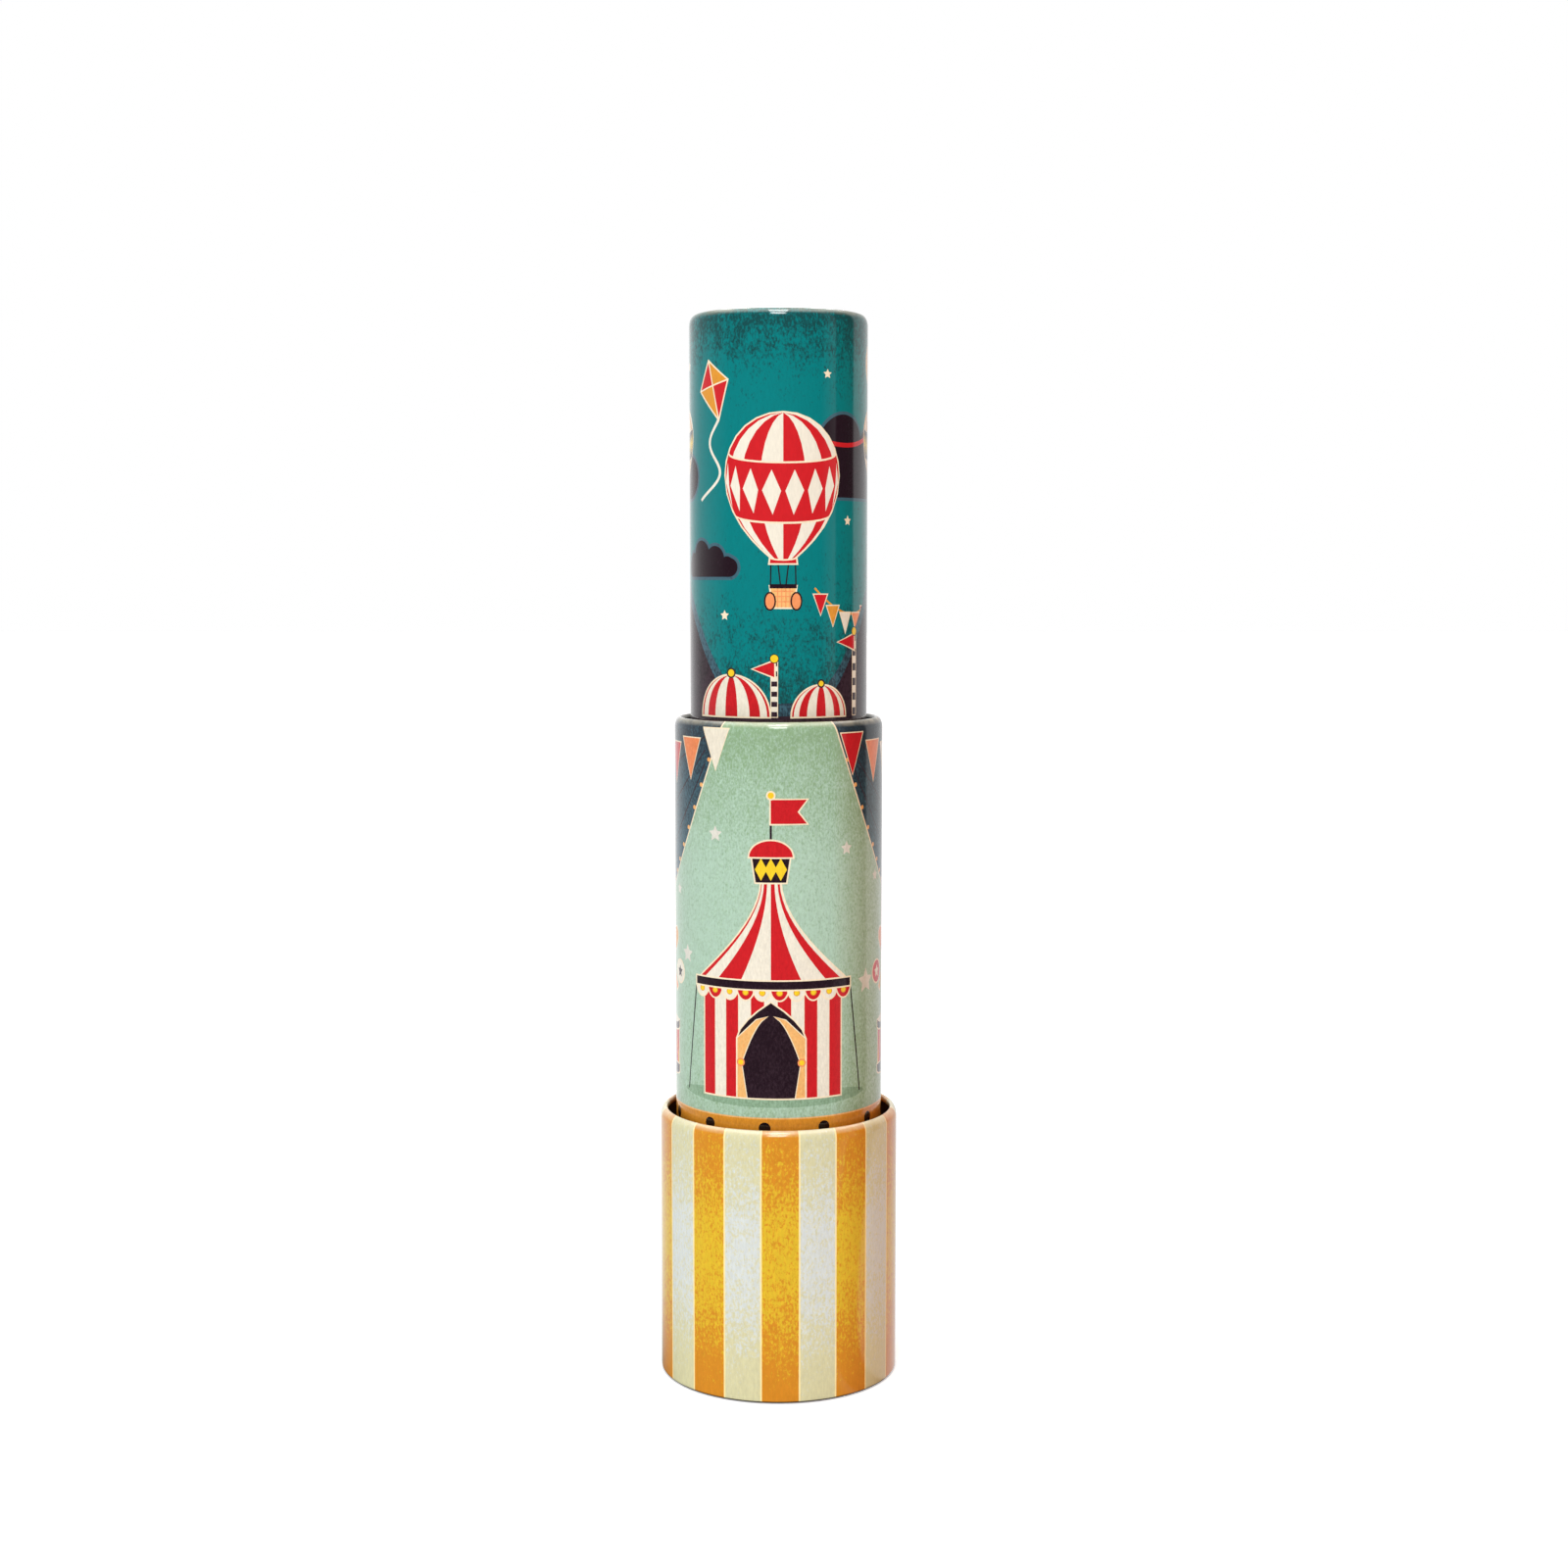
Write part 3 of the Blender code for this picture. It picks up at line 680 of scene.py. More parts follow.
def barrel_print(width):
    """Show tents between curtains, over an orange border of dark dots."""
    quarter, hung = width / 4, BARREL_TOP - 0.0012
    layers = []
    for centre in (-3 * quarter, -quarter, quarter, 3 * quarter):
        curtain(layers, centre, BARREL_TOP, 1.30 * quarter, 0.036)
        string = sagging((centre - 0.62 * quarter, hung), (centre + 0.62 * quarter, hung), 0.0040)
        pennants(layers, string, 0.0062, ("red", "peach", "cream"), "slate")
    for centre in (-2 * quarter, 0, 2 * quarter):
        big_top(layers, centre - 0.0015, 0.0625, 0.0350, ("red", "cream"))
        for x, z, size in BARREL_STARS:
            lay(layers, "pale", star(centre + x * quarter, z, size))
    for centre in (-quarter, quarter):
        drum(layers, centre, 0.0650, 0.0130)
        club(layers, centre, 0.0885, 0.0165, 48, "orange")
        club(layers, centre, 0.0885, 0.0165, 132, "peach")
        for x, z, ink, badge in JUGGLED:
            juggling_ball(layers, centre + x, z, 0.0046, ink, badge)
    lay(layers, "orange", block(-width / 2, 0, width / 2, BORDER_TOP))
    lay(layers, "tan", block(-width / 2, BORDER_TOP, width / 2, BORDER_TOP + BORDER_LINE))
    for i in range(BORDER_DOTS):
        place = -width / 2 + BORDER_START + width * i / BORDER_DOTS
        lay(layers, "dots", dot(place, BORDER_DOT_LEVEL, BORDER_DOT))
    return layers


print("the middle tube's print is", len(barrel_print(math.tau * BARREL_RADIUS)), "shapes")

# %% Compose the base's print
STRIPES = 20
STRIPE_SHIFT = 0.0004
STRIPE_EDGE = 0.00035


def base_print(width):
    """Orange and cream stripes with a pale line where they meet, up the wall and down inside."""
    each, past, half_line = width / STRIPES, 2 * BASE_TOP, STRIPE_EDGE / 2
    layers = []
    for i in range(0, STRIPES + 2, 2):
        left = -width / 2 + (i - 0.5) * each + STRIPE_SHIFT
        lay(layers, "stripe orange", block(left, 0, left + each, past))
        for edge in (left, left + each):
            lay(layers, "stripe edge", block(edge - half_line, 0, edge + half_line, past))
    return layers


print("the base's print is", len(base_print(math.tau * BASE_RADIUS)), "shapes")

# %% [markdown]
# ## The section of a tube
# Cut along its length, a tin tube is one long thin line: up the outer wall, over the rolled rim,
# down the inner wall and round the foot. Real sheet can't fold sharp, so each corner gets a
# small bend, with a point held just before and after it to keep the flats flat when shaded.


# %% Build a section with bent corners
BEND_STEPS = 4
BEND_HOLD = 0.15            # from a bend to the points held outside it, as a share of the bend
RIM_STEPS = 10


def bent(corners):
    """A closed (radius, height) outline whose corners (radius, height, bend) are rounded."""
    outline = []
    for before, here, after in zip(corners[-1:] + corners, corners, corners[1:] + corners[:1]):
        here_at, bend = Vector(here[:2]), here[2]
        into = (Vector(before[:2]) - here_at).normalized()
        onward = (Vector(after[:2]) - here_at).normalized()
        if not bend:
            outline.append(tuple(here_at))
            continue
        half = into.angle(onward) / 2
        reach = bend / math.tan(half)
        centre = here_at + (into + onward).normalized() * bend / math.sin(half)
        start, end = here_at + into * reach - centre, here_at + onward * reach - centre
        sweep = start.angle_signed(end)
        outline.append(tuple(centre + start + into * bend * BEND_HOLD))
        for i in range(BEND_STEPS + 1):
            outline.append(tuple(centre + Matrix.Rotation(-sweep * i / BEND_STEPS, 2) @ start))
        outline.append(tuple(centre + end + onward * bend * BEND_HOLD))
    return outline


def arc(centre, reach, first, last):
    """Points on part of an ellipse, its angles in degrees."""
    turns = [math.radians(first + (last - first) * i / RIM_STEPS) for i in range(RIM_STEPS + 1)]
    return [(centre[0] + reach[0] * math.cos(t), centre[1] + reach[1] * math.sin(t)) for t in turns]


def rim_roll(radius, top):
    """The rolled rim: over a broad shoulder to the crest, down inside, and curled back to the wall."""
    crest, roll = radius - RIM_CREST_IN, RIM_CURL / 2
    last = 360 - math.degrees(math.acos((roll - TIN) / roll))
    shoulder = arc((crest, top - RIM_SHOULDER), (RIM_CREST_IN, RIM_SHOULDER), 0, 90)
    inside = arc((crest, top - roll), (RIM_CURL - RIM_CREST_IN, roll), 90, 180)
    return shoulder + inside[1:] + arc((radius - roll, top - roll), (roll, roll), 180, last)[1:]


print("a bent square has", len(bent([(0, 0, 0.1), (1, 0, 0.1), (1, 1, 0.1), (0, 1, 0.1)])), "points")

# %% [markdown]
# ## Node helpers
# Shaders and Geometry Nodes trees are both built by adding nodes and joining sockets, so one
# helper serves both: a value that is a socket gets a link, and any other value is set.


# %% Add and join nodes
def add_node(tree, kind, inputs=(), output=0, **settings):
    """Adds a node, sets or links its inputs, and returns one of its outputs."""
    node = tree.nodes.new(kind)
    for name, value in settings.items():
        setattr(node, name, value)
    for key, value in inputs.items() if isinstance(inputs, dict) else enumerate(inputs):
        if isinstance(value, bpy.types.NodeSocket):
            tree.links.new(value, node.inputs[key])
        elif value is not None:
            node.inputs[key].default_value = value
    return node.outputs[output]


def math_node(tree, operation, *inputs, kind="ShaderNodeMath", **settings):
    """One step of arithmetic on sockets or numbers."""
    return add_node(tree, kind, inputs, operation=operation, **settings)


def shape_tree(name, sockets):
    """A Geometry Nodes tree with these named inputs, and the outputs of its input node."""
    tree = bpy.data.node_groups.new(name, "GeometryNodeTree")
    tree.interface.new_socket("Geometry", in_out="INPUT", socket_type="NodeSocketGeometry")
    tree.interface.new_socket("Geometry", in_out="OUTPUT", socket_type="NodeSocketGeometry")
    for label, kind in sockets.items():
        tree.interface.new_socket(label, in_out="INPUT", socket_type="NodeSocket" + kind)
    return tree, tree.nodes.new("NodeGroupInput").outputs


def round_axis(tree, radius, angle, height):
    """The place at a radius and height, turned about the tube's axis from the front."""
    x = math_node(tree, "MULTIPLY", radius, math_node(tree, "SINE", angle))
    y = math_node(tree, "MULTIPLY", radius, math_node(tree, "COSINE", angle))
    y = math_node(tree, "MULTIPLY", y, -1.0)
    return add_node(tree, "ShaderNodeCombineXYZ", [x, y, height])


def moved_and_welded(tree, shape, places, weld):
    """The shape with its points at these places, and the points that meet made one."""
    shape = add_node(tree, "GeometryNodeSetPosition", {"Geometry": shape, "Position": places})
    return add_node(tree, "GeometryNodeMergeByDistance", {"Geometry": shape, "Distance": weld})


def end_tree(tree, shape, material, where=True):
    """Ends a tree in plain mesh, with the material on it or on some of its faces."""
    shape = add_node(tree, "GeometryNodeRealizeInstances", [shape])
    dressed = {"Geometry": shape, "Selection": where, "Material": material}
    shape = add_node(tree, "GeometryNodeSetMaterial", dressed)
    output = tree.nodes.new("NodeGroupOutput")
    tree.links.new(shape, output.inputs[0])


def grow(tree, name, start, values):
    """Runs a tree on a start mesh and leaves the result as a plain mesh object."""
    piece = bpy.data.objects.new(name, start)
    bpy.context.scene.collection.objects.link(piece)
    modifier = piece.modifiers.new(tree.name, "NODES")
    modifier.node_group = tree
    for socket in tree.interface.items_tree:
        if socket.in_out == "INPUT" and socket.name in values:
            modifier[socket.identifier] = values[socket.name]
    depsgraph = bpy.context.evaluated_depsgraph_get()
    evaluated = piece.evaluated_get(depsgraph)
    mesh = bpy.data.meshes.new_from_object(evaluated, preserve_all_data_layers=True, depsgraph=depsgraph)
    piece.modifiers.remove(modifier)
    piece.data = mesh
    mesh.name = name
    print(name, "has", len(mesh.polygons), "faces")
    return piece


def section_curve(outline):
    """A helper curve through (radius, height) points, for a tree to sample. It isn't rendered."""
    curve = bpy.data.curves.new("section", "CURVE")
    curve.dimensions = "3D"
    spline = curve.splines.new("POLY")
    spline.points.add(len(outline) - 1)
    for point, (radius, height) in zip(spline.points, outline):
        point.co = (radius, 0, height, 1)
    helper = bpy.data.objects.new("section", curve)
    bpy.context.scene.collection.objects.link(helper)
    return helper


# %% [markdown]
# ## The flat sheet as a mesh
# The print could be an image, but an image has to come from a file. Here every shape is cut
# into the sheet itself, so its edges stay crisp at any distance. One constrained Delaunay
# triangulation takes all outlines at once, along with the fold lines of the section and enough
# upright lines for a round tube, and says which outlines each triangle lies in: the last one
# wins, as the last ink does on a press.

# %% Triangulate a printed sheet
COLUMNS = 144
SEAM_WIDTH = 0.0006
SEAM_DEPTH = 0.00016
CLOSE = 1e-7                # places this near each other are one
WELD = 1e-6                 # and points of a finished mesh
WALL_SHARE = 0.86           # of the texture space, for the printed side of the sheet
PRINT_UNDER = 0.0002        # how far the print runs on under the foot


def seam_places(width):
    """Upright lines near the lap seam, where the sheet's ends dip."""
    dips = [SEAM_WIDTH * i / 4 for i in range(1, 5)]
    return [side * (width / 2 - dip) for dip in dips for side in (-1, 1)]


def covered(outline, places):
    """Which places lie inside the outline: a line from there crosses an odd number of its sides."""
    x, y = places.T
    inside = np.zeros(len(places), bool)
    for (ax, ay), (bx, by) in zip(outline, outline[1:] + outline[:1]):
        if ay != by:
            inside ^= ((ay > y) != (by > y)) & (x < ax + (bx - ax) * (y - ay) / (by - ay))
    return inside


def cut_sheet(width, levels, layers):
    """Triangles of the sheet as (points, faces, top layer of each face, or -1 for bare ground)."""
    length = levels[-1]
    uprights = [width * (i / COLUMNS - 0.5) for i in range(COLUMNS + 1)] + seam_places(width)
    outlines = [[(x, 0), (x, length)] for x in uprights]
    outlines += [[(-width / 2, level), (width / 2, level)] for level in levels]
    inked = []
    for number, (_, outline) in enumerate(layers):
        places = [x for x, _ in outline]
        for lap in (-width, 0, width):
            if max(places) + lap > -width / 2 and min(places) + lap < width / 2:
                inked.append((number, [(x + lap, y) for x, y in outline]))
    outlines += [outline for _, outline in inked]
    points, edges = [], []
    for outline in outlines:
        first = len(points)
        points += [Vector(p) for p in outline]
        edges += [(first + i, first + (i + 1) % len(outline)) for i in range(len(outline))]
    points, _, faces, *_ = geometry.delaunay_2d_cdt(points, edges, [], 0, CLOSE, False)
    flat = np.array(points)
    middles = flat[np.array(faces)].mean(axis=1)
    kept = covered(block(-width / 2, 0, width / 2, length), middles)
    faces, middles = [face for face, keep in zip(faces, kept) if keep], middles[kept]
    tops = np.full(len(faces), -1)
    for number, outline in inked:
        tops[covered(outline, middles)] = number
    return points, faces, tops


def sheet_mesh(name, width, levels, wall_levels, ground, layers):
    """The flat sheet: ink attributes on its faces, and its own maps for shading and baking."""
    foot_level, wall_foot, wall_top = wall_levels
    on_sheet = [(ink, [(x, foot_level + z - wall_foot) for x, z in outline]) for ink, outline in layers]
    points, faces, tops = cut_sheet(width, levels, on_sheet)
    mesh = bpy.data.meshes.new(name)
    mesh.from_pydata([(p.x, p.y, 0) for p in points], [], faces)
    inks = [ground if top < 0 else on_sheet[top][0] for top in tops]
    for label, part in (("ink", 0), ("rubbed", 1)):
        colours = {ink: (*linear(INKS[ink][part]), INKS[ink][2]) for ink in set(inks)}
        attribute = mesh.attributes.new(label, "FLOAT_COLOR", "FACE")
        attribute.data.foreach_set("color", [v for ink in inks for v in colours[ink]])
    back = foot_level + wall_top - wall_foot + RIM_SHOULDER + RIM_CURL * 2
    middles = [sum(points[i].y for i in face) / 3 for face in faces]
    inside = mesh.attributes.new("inside", "BOOLEAN", "FACE")
    inside.data.foreach_set("value", [m > back or m < foot_level - PRINT_UNDER for m in middles])
    corners = [points[mesh.loops[i].vertex_index] for i in range(len(mesh.loops))]
    flat = mesh.uv_layers.new(name="sheet")
    flat.data.foreach_set("uv", [v for p in corners for v in (p.x, p.y)])
    bake = mesh.uv_layers.new(name="OFBake")
    split = back / levels[-1]
    for target, p in zip(bake.data, corners):
        way = p.y / levels[-1]
        if way < split:
            up = WALL_SHARE * way / split
        else:
            up = WALL_SHARE + (1 - WALL_SHARE) * (way - split) / (1 - split)
        target.uv = (p.x / width + 0.5, up)
    return mesh


sample = cut_sheet(0.1, [0.0, 0.1], [("red", dot(0, 0.05, 0.01))])
print("a sheet 100 mm wide with one dot on it is cut into", len(sample[1]), "triangles")

# %% [markdown]
# ## Rolling the sheet
# Rolling is a rule: the distance across becomes an angle, and the distance along looks up its
# radius and height on the section. That is work for Geometry Nodes, which also dip the two ends
# of the sheet into the lap seam and weld them, just as the factory does.


# %% The tree that rolls a sheet into a tube
def build_roller():
    """Bends a flat sheet round its section, and welds it where its ends meet."""
    sockets = {"Section": "Object", "Radius": "Float", "Width": "Float", "Seam width": "Float"}
    sockets |= {"Seam depth": "Float", "Weld": "Float", "Print": "Material", "Lacquer": "Material"}
    tree, given = shape_tree("roll_a_sheet", sockets)
    place = add_node(tree, "GeometryNodeInputPosition")
    across = add_node(tree, "ShaderNodeSeparateXYZ", [place])
    along = across.node.outputs["Y"]
    section = add_node(tree, "GeometryNodeObjectInfo", [given["Section"]], output="Geometry")
    looked_up = {"Curves": section, "Length": along}
    looked_up = add_node(tree, "GeometryNodeSampleCurve", looked_up, output="Position", mode="LENGTH")
    radius = add_node(tree, "ShaderNodeSeparateXYZ", [looked_up])
    height = radius.node.outputs["Z"]
    half = math_node(tree, "MULTIPLY", given["Width"], 0.5)
    from_seam = math_node(tree, "SUBTRACT", half, math_node(tree, "ABSOLUTE", across))
    near = math_node(tree, "DIVIDE", from_seam, given["Seam width"])
    near = math_node(tree, "SUBTRACT", 1.0, near, use_clamp=True)
    dip = math_node(tree, "MULTIPLY", math_node(tree, "MULTIPLY", near, near), given["Seam depth"])
    radius = math_node(tree, "SUBTRACT", radius, dip)
    angle = math_node(tree, "DIVIDE", across, given["Radius"])
    rolled = round_axis(tree, radius, angle, height)
    shape = moved_and_welded(tree, given["Geometry"], rolled, given["Weld"])
    shape = add_node(tree, "GeometryNodeSetMaterial", {"Geometry": shape, "Material": given["Print"]})
    inside = add_node(tree, "GeometryNodeInputNamedAttribute", {"Name": "inside"}, data_type="BOOLEAN")
    end_tree(tree, shape, given["Lacquer"], inside)
    return tree


roller = build_roller()
print("the rolling tree has", len(roller.nodes), "nodes")

# %% [markdown]
# A rolled sheet is made of narrow flat facets, and polished varnish would show them. The true
# normal of every corner is known, though: it follows the section and the angle, so each face
# corner is given that one, with the tilt of the seam added where the ends dip.


# %% Give a rolled sheet its true normals
def true_normals(mesh, section, levels, radius, width):
    """Gives each face corner the normal of the section and the turn that it lies at."""
    segments = [(Vector(b) - Vector(a)).normalized() for a, b in zip(section, section[1:])]
    sides = zip(segments[-1:] + segments, segments + segments[:1])
    tangents = [(before + after).normalized() for before, after in sides]
    normals = []
    for corner in mesh.uv_layers["sheet"].uv:
        across, along = corner.vector
        i = min(max(bisect.bisect_right(levels, along) - 1, 0), len(segments) - 1)
        way = min(max((along - levels[i]) / (levels[i + 1] - levels[i]), 0), 1)
        run = tangents[i].lerp(tangents[i + 1], way)
        near = max(0, 1 - (width / 2 - abs(across)) / SEAM_WIDTH)
        tilt = math.copysign(math.atan(2 * SEAM_DEPTH * near / SEAM_WIDTH), across)
        angle = across / radius + tilt
        normals.append((run.y * math.sin(angle), -run.y * math.cos(angle), -run.x))
    mesh.shade_smooth()
    mesh.normals_split_custom_set(normals)
    return len(normals)


print("a normal tilts up to", round(math.degrees(math.atan(2 * SEAM_DEPTH / SEAM_WIDTH))), "degrees")

# %% [markdown]
# ## Finish helpers
# A finish is one shader fed by a few nodes. These helpers name what the finishes share: where a
# point is, clouds of noise, a range, a mix of two colours, and relief that is only in the shading.


# %% Finish helpers
def new_finish(name, values=()):
    """A material, its tree and its shader, with these values set on the shader's own sockets."""
    material = bpy.data.materials.new(name)
    material.use_nodes = True
    shader = material.node_tree.nodes["Principled BSDF"]
    for socket, value in dict(values).items():
        shader.inputs[socket].default_value = value
    return material, material.node_tree, shader


def object_place(tree):
    """Where a point is on the piece, in metres."""
    return add_node(tree, "ShaderNodeTexCoord", output="Object")


def noise(tree, vector, scale, detail=2.0, roughness=0.5):
    """Cloudy grey, its scale in clouds per metre."""
    inputs = {"Vector": vector, "Scale": scale, "Detail": detail, "Roughness": roughness}
    return add_node(tree, "ShaderNodeTexNoise", inputs)


def ranged(tree, value, low, high, to_low=0.0, to_high=1.0):
    """The value, mapped from one range to another and kept within it."""
    return add_node(tree, "ShaderNodeMapRange", [value, low, high, to_low, to_high])


def stretched(tree, vector, scale):
    """The place, scaled along each axis: under 1 draws a pattern out."""
    return add_node(tree, "ShaderNodeMapping", {"Vector": vector, "Scale": scale})


def mixed(tree, factor, a, b, blend="MIX"):
    """One colour over another."""
    node = tree.nodes.new("ShaderNodeMix")
    node.data_type = "RGBA"
    node.blend_type = blend
    for key, value in ((0, factor), (6, a), (7, b)):
        if isinstance(value, bpy.types.NodeSocket):
            tree.links.new(value, node.inputs[key])
        else:
            node.inputs[key].default_value = value
    return node.outputs[2]


def tone_between(tree, shader, factor, first, second):
    """Runs the shader's colour from one code to another."""
    tree.links.new(mixed(tree, factor, paint(first), paint(second)), shader.inputs["Base Color"])


def gloss_between(tree, shader, factor, low, high, smooth, dull):
    """Runs the shader's roughness while the factor goes from low to high."""
    tree.links.new(ranged(tree, factor, low, high, smooth, dull), shader.inputs["Roughness"])


def embossed(tree, shader, height, strength, distance):
    """Raises the surface, in its shading alone, by a height."""
    bump = {"Strength": strength, "Distance": distance, "Height": height}
    bump = add_node(tree, "ShaderNodeBump", bump)
    tree.links.new(bump, shader.inputs["Normal"])
    return bump


spare, _, spare_shader = new_finish("spare")
print("a new finish is a", spare_shader.bl_label, "with", len(spare_shader.inputs), "inputs")
bpy.data.materials.remove(spare)

# %% [markdown]
# ## Printed tinplate
# Tin is printed with opaque inks and then varnished. The varnish is the glossy part: a clear
# coat over satin ink. Each ink mixes with its rubbed tone where a stipple of noise passes a
# threshold, and how much passes depends on the height, because such tubes are shaded by hand
# towards their ends. Fine streaks that run up the tube are the grain of the rolled sheet. On the
# crest of the rim the pale ground coat shows through: partly wear, and partly a painted highlight
# along the crest. A painted shade, warm and darker, with more of the rubbed tone, lies on the
# right of the front scene and of the back one, and fades out round the tube.

# %% Make a printed tin finish
# The warm tone of the painted shade on the right of each scene.
PAINTED_SHADE_TONE = "ECD6C4"
# The pale tone of the rims' crests: partly wear, and partly a painted highlight. The two depths below say
# where, under a rim's top, it starts and where it is full.
CREST_WEAR_AND_HIGHLIGHT_TONE = "F5E9C8"
CREST_LOW, CREST_HIGH = 0.0012, 0.0002      # below a rim's top, where wear starts and is full
PASS_LEVEL = 0.51           # of the noise, past which the rubbed tone shows
RIPPLE = 260.0


def shading_by_height(tree, height, stops):
    """A colour ramp that reads (height, amount) stops as a smooth curve."""
    low, high = stops[0][0], stops[-1][0]
    way = ranged(tree, height, low, high)
    ramp = add_node(tree, "ShaderNodeValToRGB", [way])
    ramp.node.color_ramp.interpolation = "EASE"
    elements = ramp.node.color_ramp.elements
    while len(elements) < len(stops):
        elements.new(0.5)
    for element, (level, amount) in zip(elements, stops):
        element.position = (level - low) / (high - low)
        element.color = (amount, amount, amount, 1)
    return ramp


def painted_shade_side(tree, place):
    """How far a point lies in the painted shade on the right of the front or back scene, to 1 at 60 degrees
    from its middle.
    """
    x = add_node(tree, "ShaderNodeSeparateXYZ", [place])
    turn = math_node(tree, "ARCTAN2", x, math_node(tree, "MULTIPLY", x.node.outputs["Y"], -1.0))
    wave = math_node(tree, "SINE", math_node(tree, "MULTIPLY_ADD", turn, 2.0, math.radians(-30)))
    return ranged(tree, wave, 0.50, 1.0)


def printed_tin(name, stops, top, wear, speck, blotch, softness, grain, side_rub, side_warmth):
    """Stops say how much ink is rubbed at what height, and the painted shade values what the right of each
    scene adds.
    """
    gloss = {"Specular IOR Level": 0.05, "Coat Weight": 1.0, "Coat Roughness": 0.05}
    material, tree, shader = new_finish(name, gloss)
    place = object_place(tree)
    height = add_node(tree, "ShaderNodeSeparateXYZ", [place], output="Z")
    ink = add_node(tree, "ShaderNodeAttribute", attribute_name="ink")
    rubbed = add_node(tree, "ShaderNodeAttribute", attribute_name="rubbed")
    ease = rubbed.node.outputs["Alpha"]
    fine = noise(tree, stretched(tree, place, (1, 1, 0.6)), speck, 2.0, 0.7)
    patch = noise(tree, place, speck / 6, 3.0, 0.6)
    specks = add_node(tree, "ShaderNodeMix", [blotch, None, fine, patch])
    level = math_node(tree, "MULTIPLY_ADD", shading_by_height(tree, height, stops), 0.5, -0.25)
    # Painted shade: on the right of the front and back scenes the print gets more of its rubbed tone and a
    # warm darker tone, as if shaded there.
    side = painted_shade_side(tree, place)
    level = math_node(tree, "MULTIPLY_ADD", side, side_rub, level)
    passed = math_node(tree, "ADD", specks, level)
    passed = ranged(tree, passed, PASS_LEVEL - softness, PASS_LEVEL + softness)
    passed = math_node(tree, "MULTIPLY", passed, ease)
    colour = mixed(tree, passed, ink, rubbed)
    streaks = noise(tree, stretched(tree, place, (1, 1, 0.30)), speck * 0.9, 2.0, 0.7)
    shade = ranged(tree, streaks, 0.25, 0.75, 1 - grain, 1 + grain)
    shade = add_node(tree, "ShaderNodeCombineXYZ", [shade, shade, shade])
    colour = mixed(tree, 1.0, colour, shade, "MULTIPLY")
    # The warm tone of the painted shade, multiplied in.
    painted_shade_share = math_node(tree, "MULTIPLY", side, side_warmth)
    colour = mixed(tree, painted_shade_share, colour, paint(PAINTED_SHADE_TONE), "MULTIPLY")
    # The pale crest of the rims: partly wear, and partly a painted highlight.
    worn_and_highlit = ranged(tree, patch, 0.30, 0.62, 0.4 * wear, wear)
    crest = ranged(tree, height, top - CREST_LOW, top - CREST_HIGH)
    worn_and_highlit = math_node(tree, "MULTIPLY", worn_and_highlit, crest)
    colour = mixed(tree, worn_and_highlit, colour, paint(CREST_WEAR_AND_HIGHLIGHT_TONE))
    tree.links.new(colour, shader.inputs["Base Color"])
    gloss_between(tree, shader, specks, 0.3, 0.7, 0.36, 0.48)
    ripple = embossed(tree, shader, noise(tree, place, RIPPLE), 0.04, 0.0004)
    tree.links.new(ripple, shader.inputs["Coat Normal"])
    return material


# %% Finish the three prints
TEAL_RUB = [                # (height, amount), from the foot of each tube to its rim
    (0.128, 0.62), (0.144, 0.56), (0.154, 0.42), (0.168, 0.22), (0.182, 0.10), (0.196, 0.10),
    (0.2060, 0.26), (0.2140, 0.48), (0.221, 0.66),
]
MINT_RUB = [(0.056, 0.45), (0.070, 0.34), (0.090, 0.24), (0.108, 0.26), (0.124, 0.50), (0.1388, 0.78)]
STRIPE_RUB = [
    (0.0, 0.10), (0.0060, 0.24), (0.0130, 0.42), (0.0200, 0.58), (0.0290, 0.68), (0.0360, 0.66),
    (0.0430, 0.50), (0.0490, 0.38), (0.0564, 0.26),
]
# Each print gets its pale crest amount, partly wear and partly painted highlight, and two painted shade
# amounts for the right of each scene.
teal_tin = printed_tin(
    "teal_printed_tin", TEAL_RUB, DRAW_TOP,
    wear=0.26, speck=2300.0, blotch=0.34, softness=0.08, grain=0.06, side_rub=0.04, side_warmth=0.4,
)
mint_tin = printed_tin(
    "mint_printed_tin", MINT_RUB, BARREL_TOP,
    wear=0.36, speck=2700.0, blotch=0.20, softness=0.15, grain=0.10, side_rub=0.08, side_warmth=0.8,
)
stripe_tin = printed_tin(
    "striped_printed_tin", STRIPE_RUB, BASE_TOP,
    wear=0.52, speck=2300.0, blotch=0.22, softness=0.08, grain=0.08, side_rub=0.0, side_warmth=1.0,
)
for tin in (teal_tin, mint_tin, stripe_tin):
    print(tin.name, "has", len(tin.node_tree.nodes), "nodes")

# %% [markdown]
# The inside of such a tube isn't printed: it has one coat of dark gold lacquer. Here that lacquer
# is painted darker still, as painted shade, so that the open mouths look brown and black.


# %% Make the lacquer, darkened as painted shade
def lacquer_with_painted_shade():
    """Brown lacquer darkened as painted shade, thinner and thicker in long clouds, over bright tin."""
    material, tree, shader = new_finish("dark_lacquered_tin", {"Metallic": 0.3})
    cloudy = noise(tree, stretched(tree, object_place(tree), (1, 1, 0.2)), 300.0, 4.0, 0.6)
    tone_between(tree, shader, cloudy, "2A1C12", "4A3420")
    gloss_between(tree, shader, cloudy, 0.2, 0.8, 0.35, 0.6)
    return material


lacquer_and_shade = lacquer_with_painted_shade()
print(lacquer_and_shade.name, "is ready")

# %% [markdown]
# ## Roll the three tubes
# Each tube is one piece: its outer wall, rim, inner wall and foot. The draw tube and the barrel
# end in an outward flange that keeps them from being pulled out, and the base in a folded foot.


# %% Say how to print and roll a tube
def distances(outline):
    """How far along the outline each of its points lies."""
    levels = [0.0]
    for a, b in zip(outline, outline[1:]):
        levels.append(levels[-1] + math.dist(a, b))
    return levels


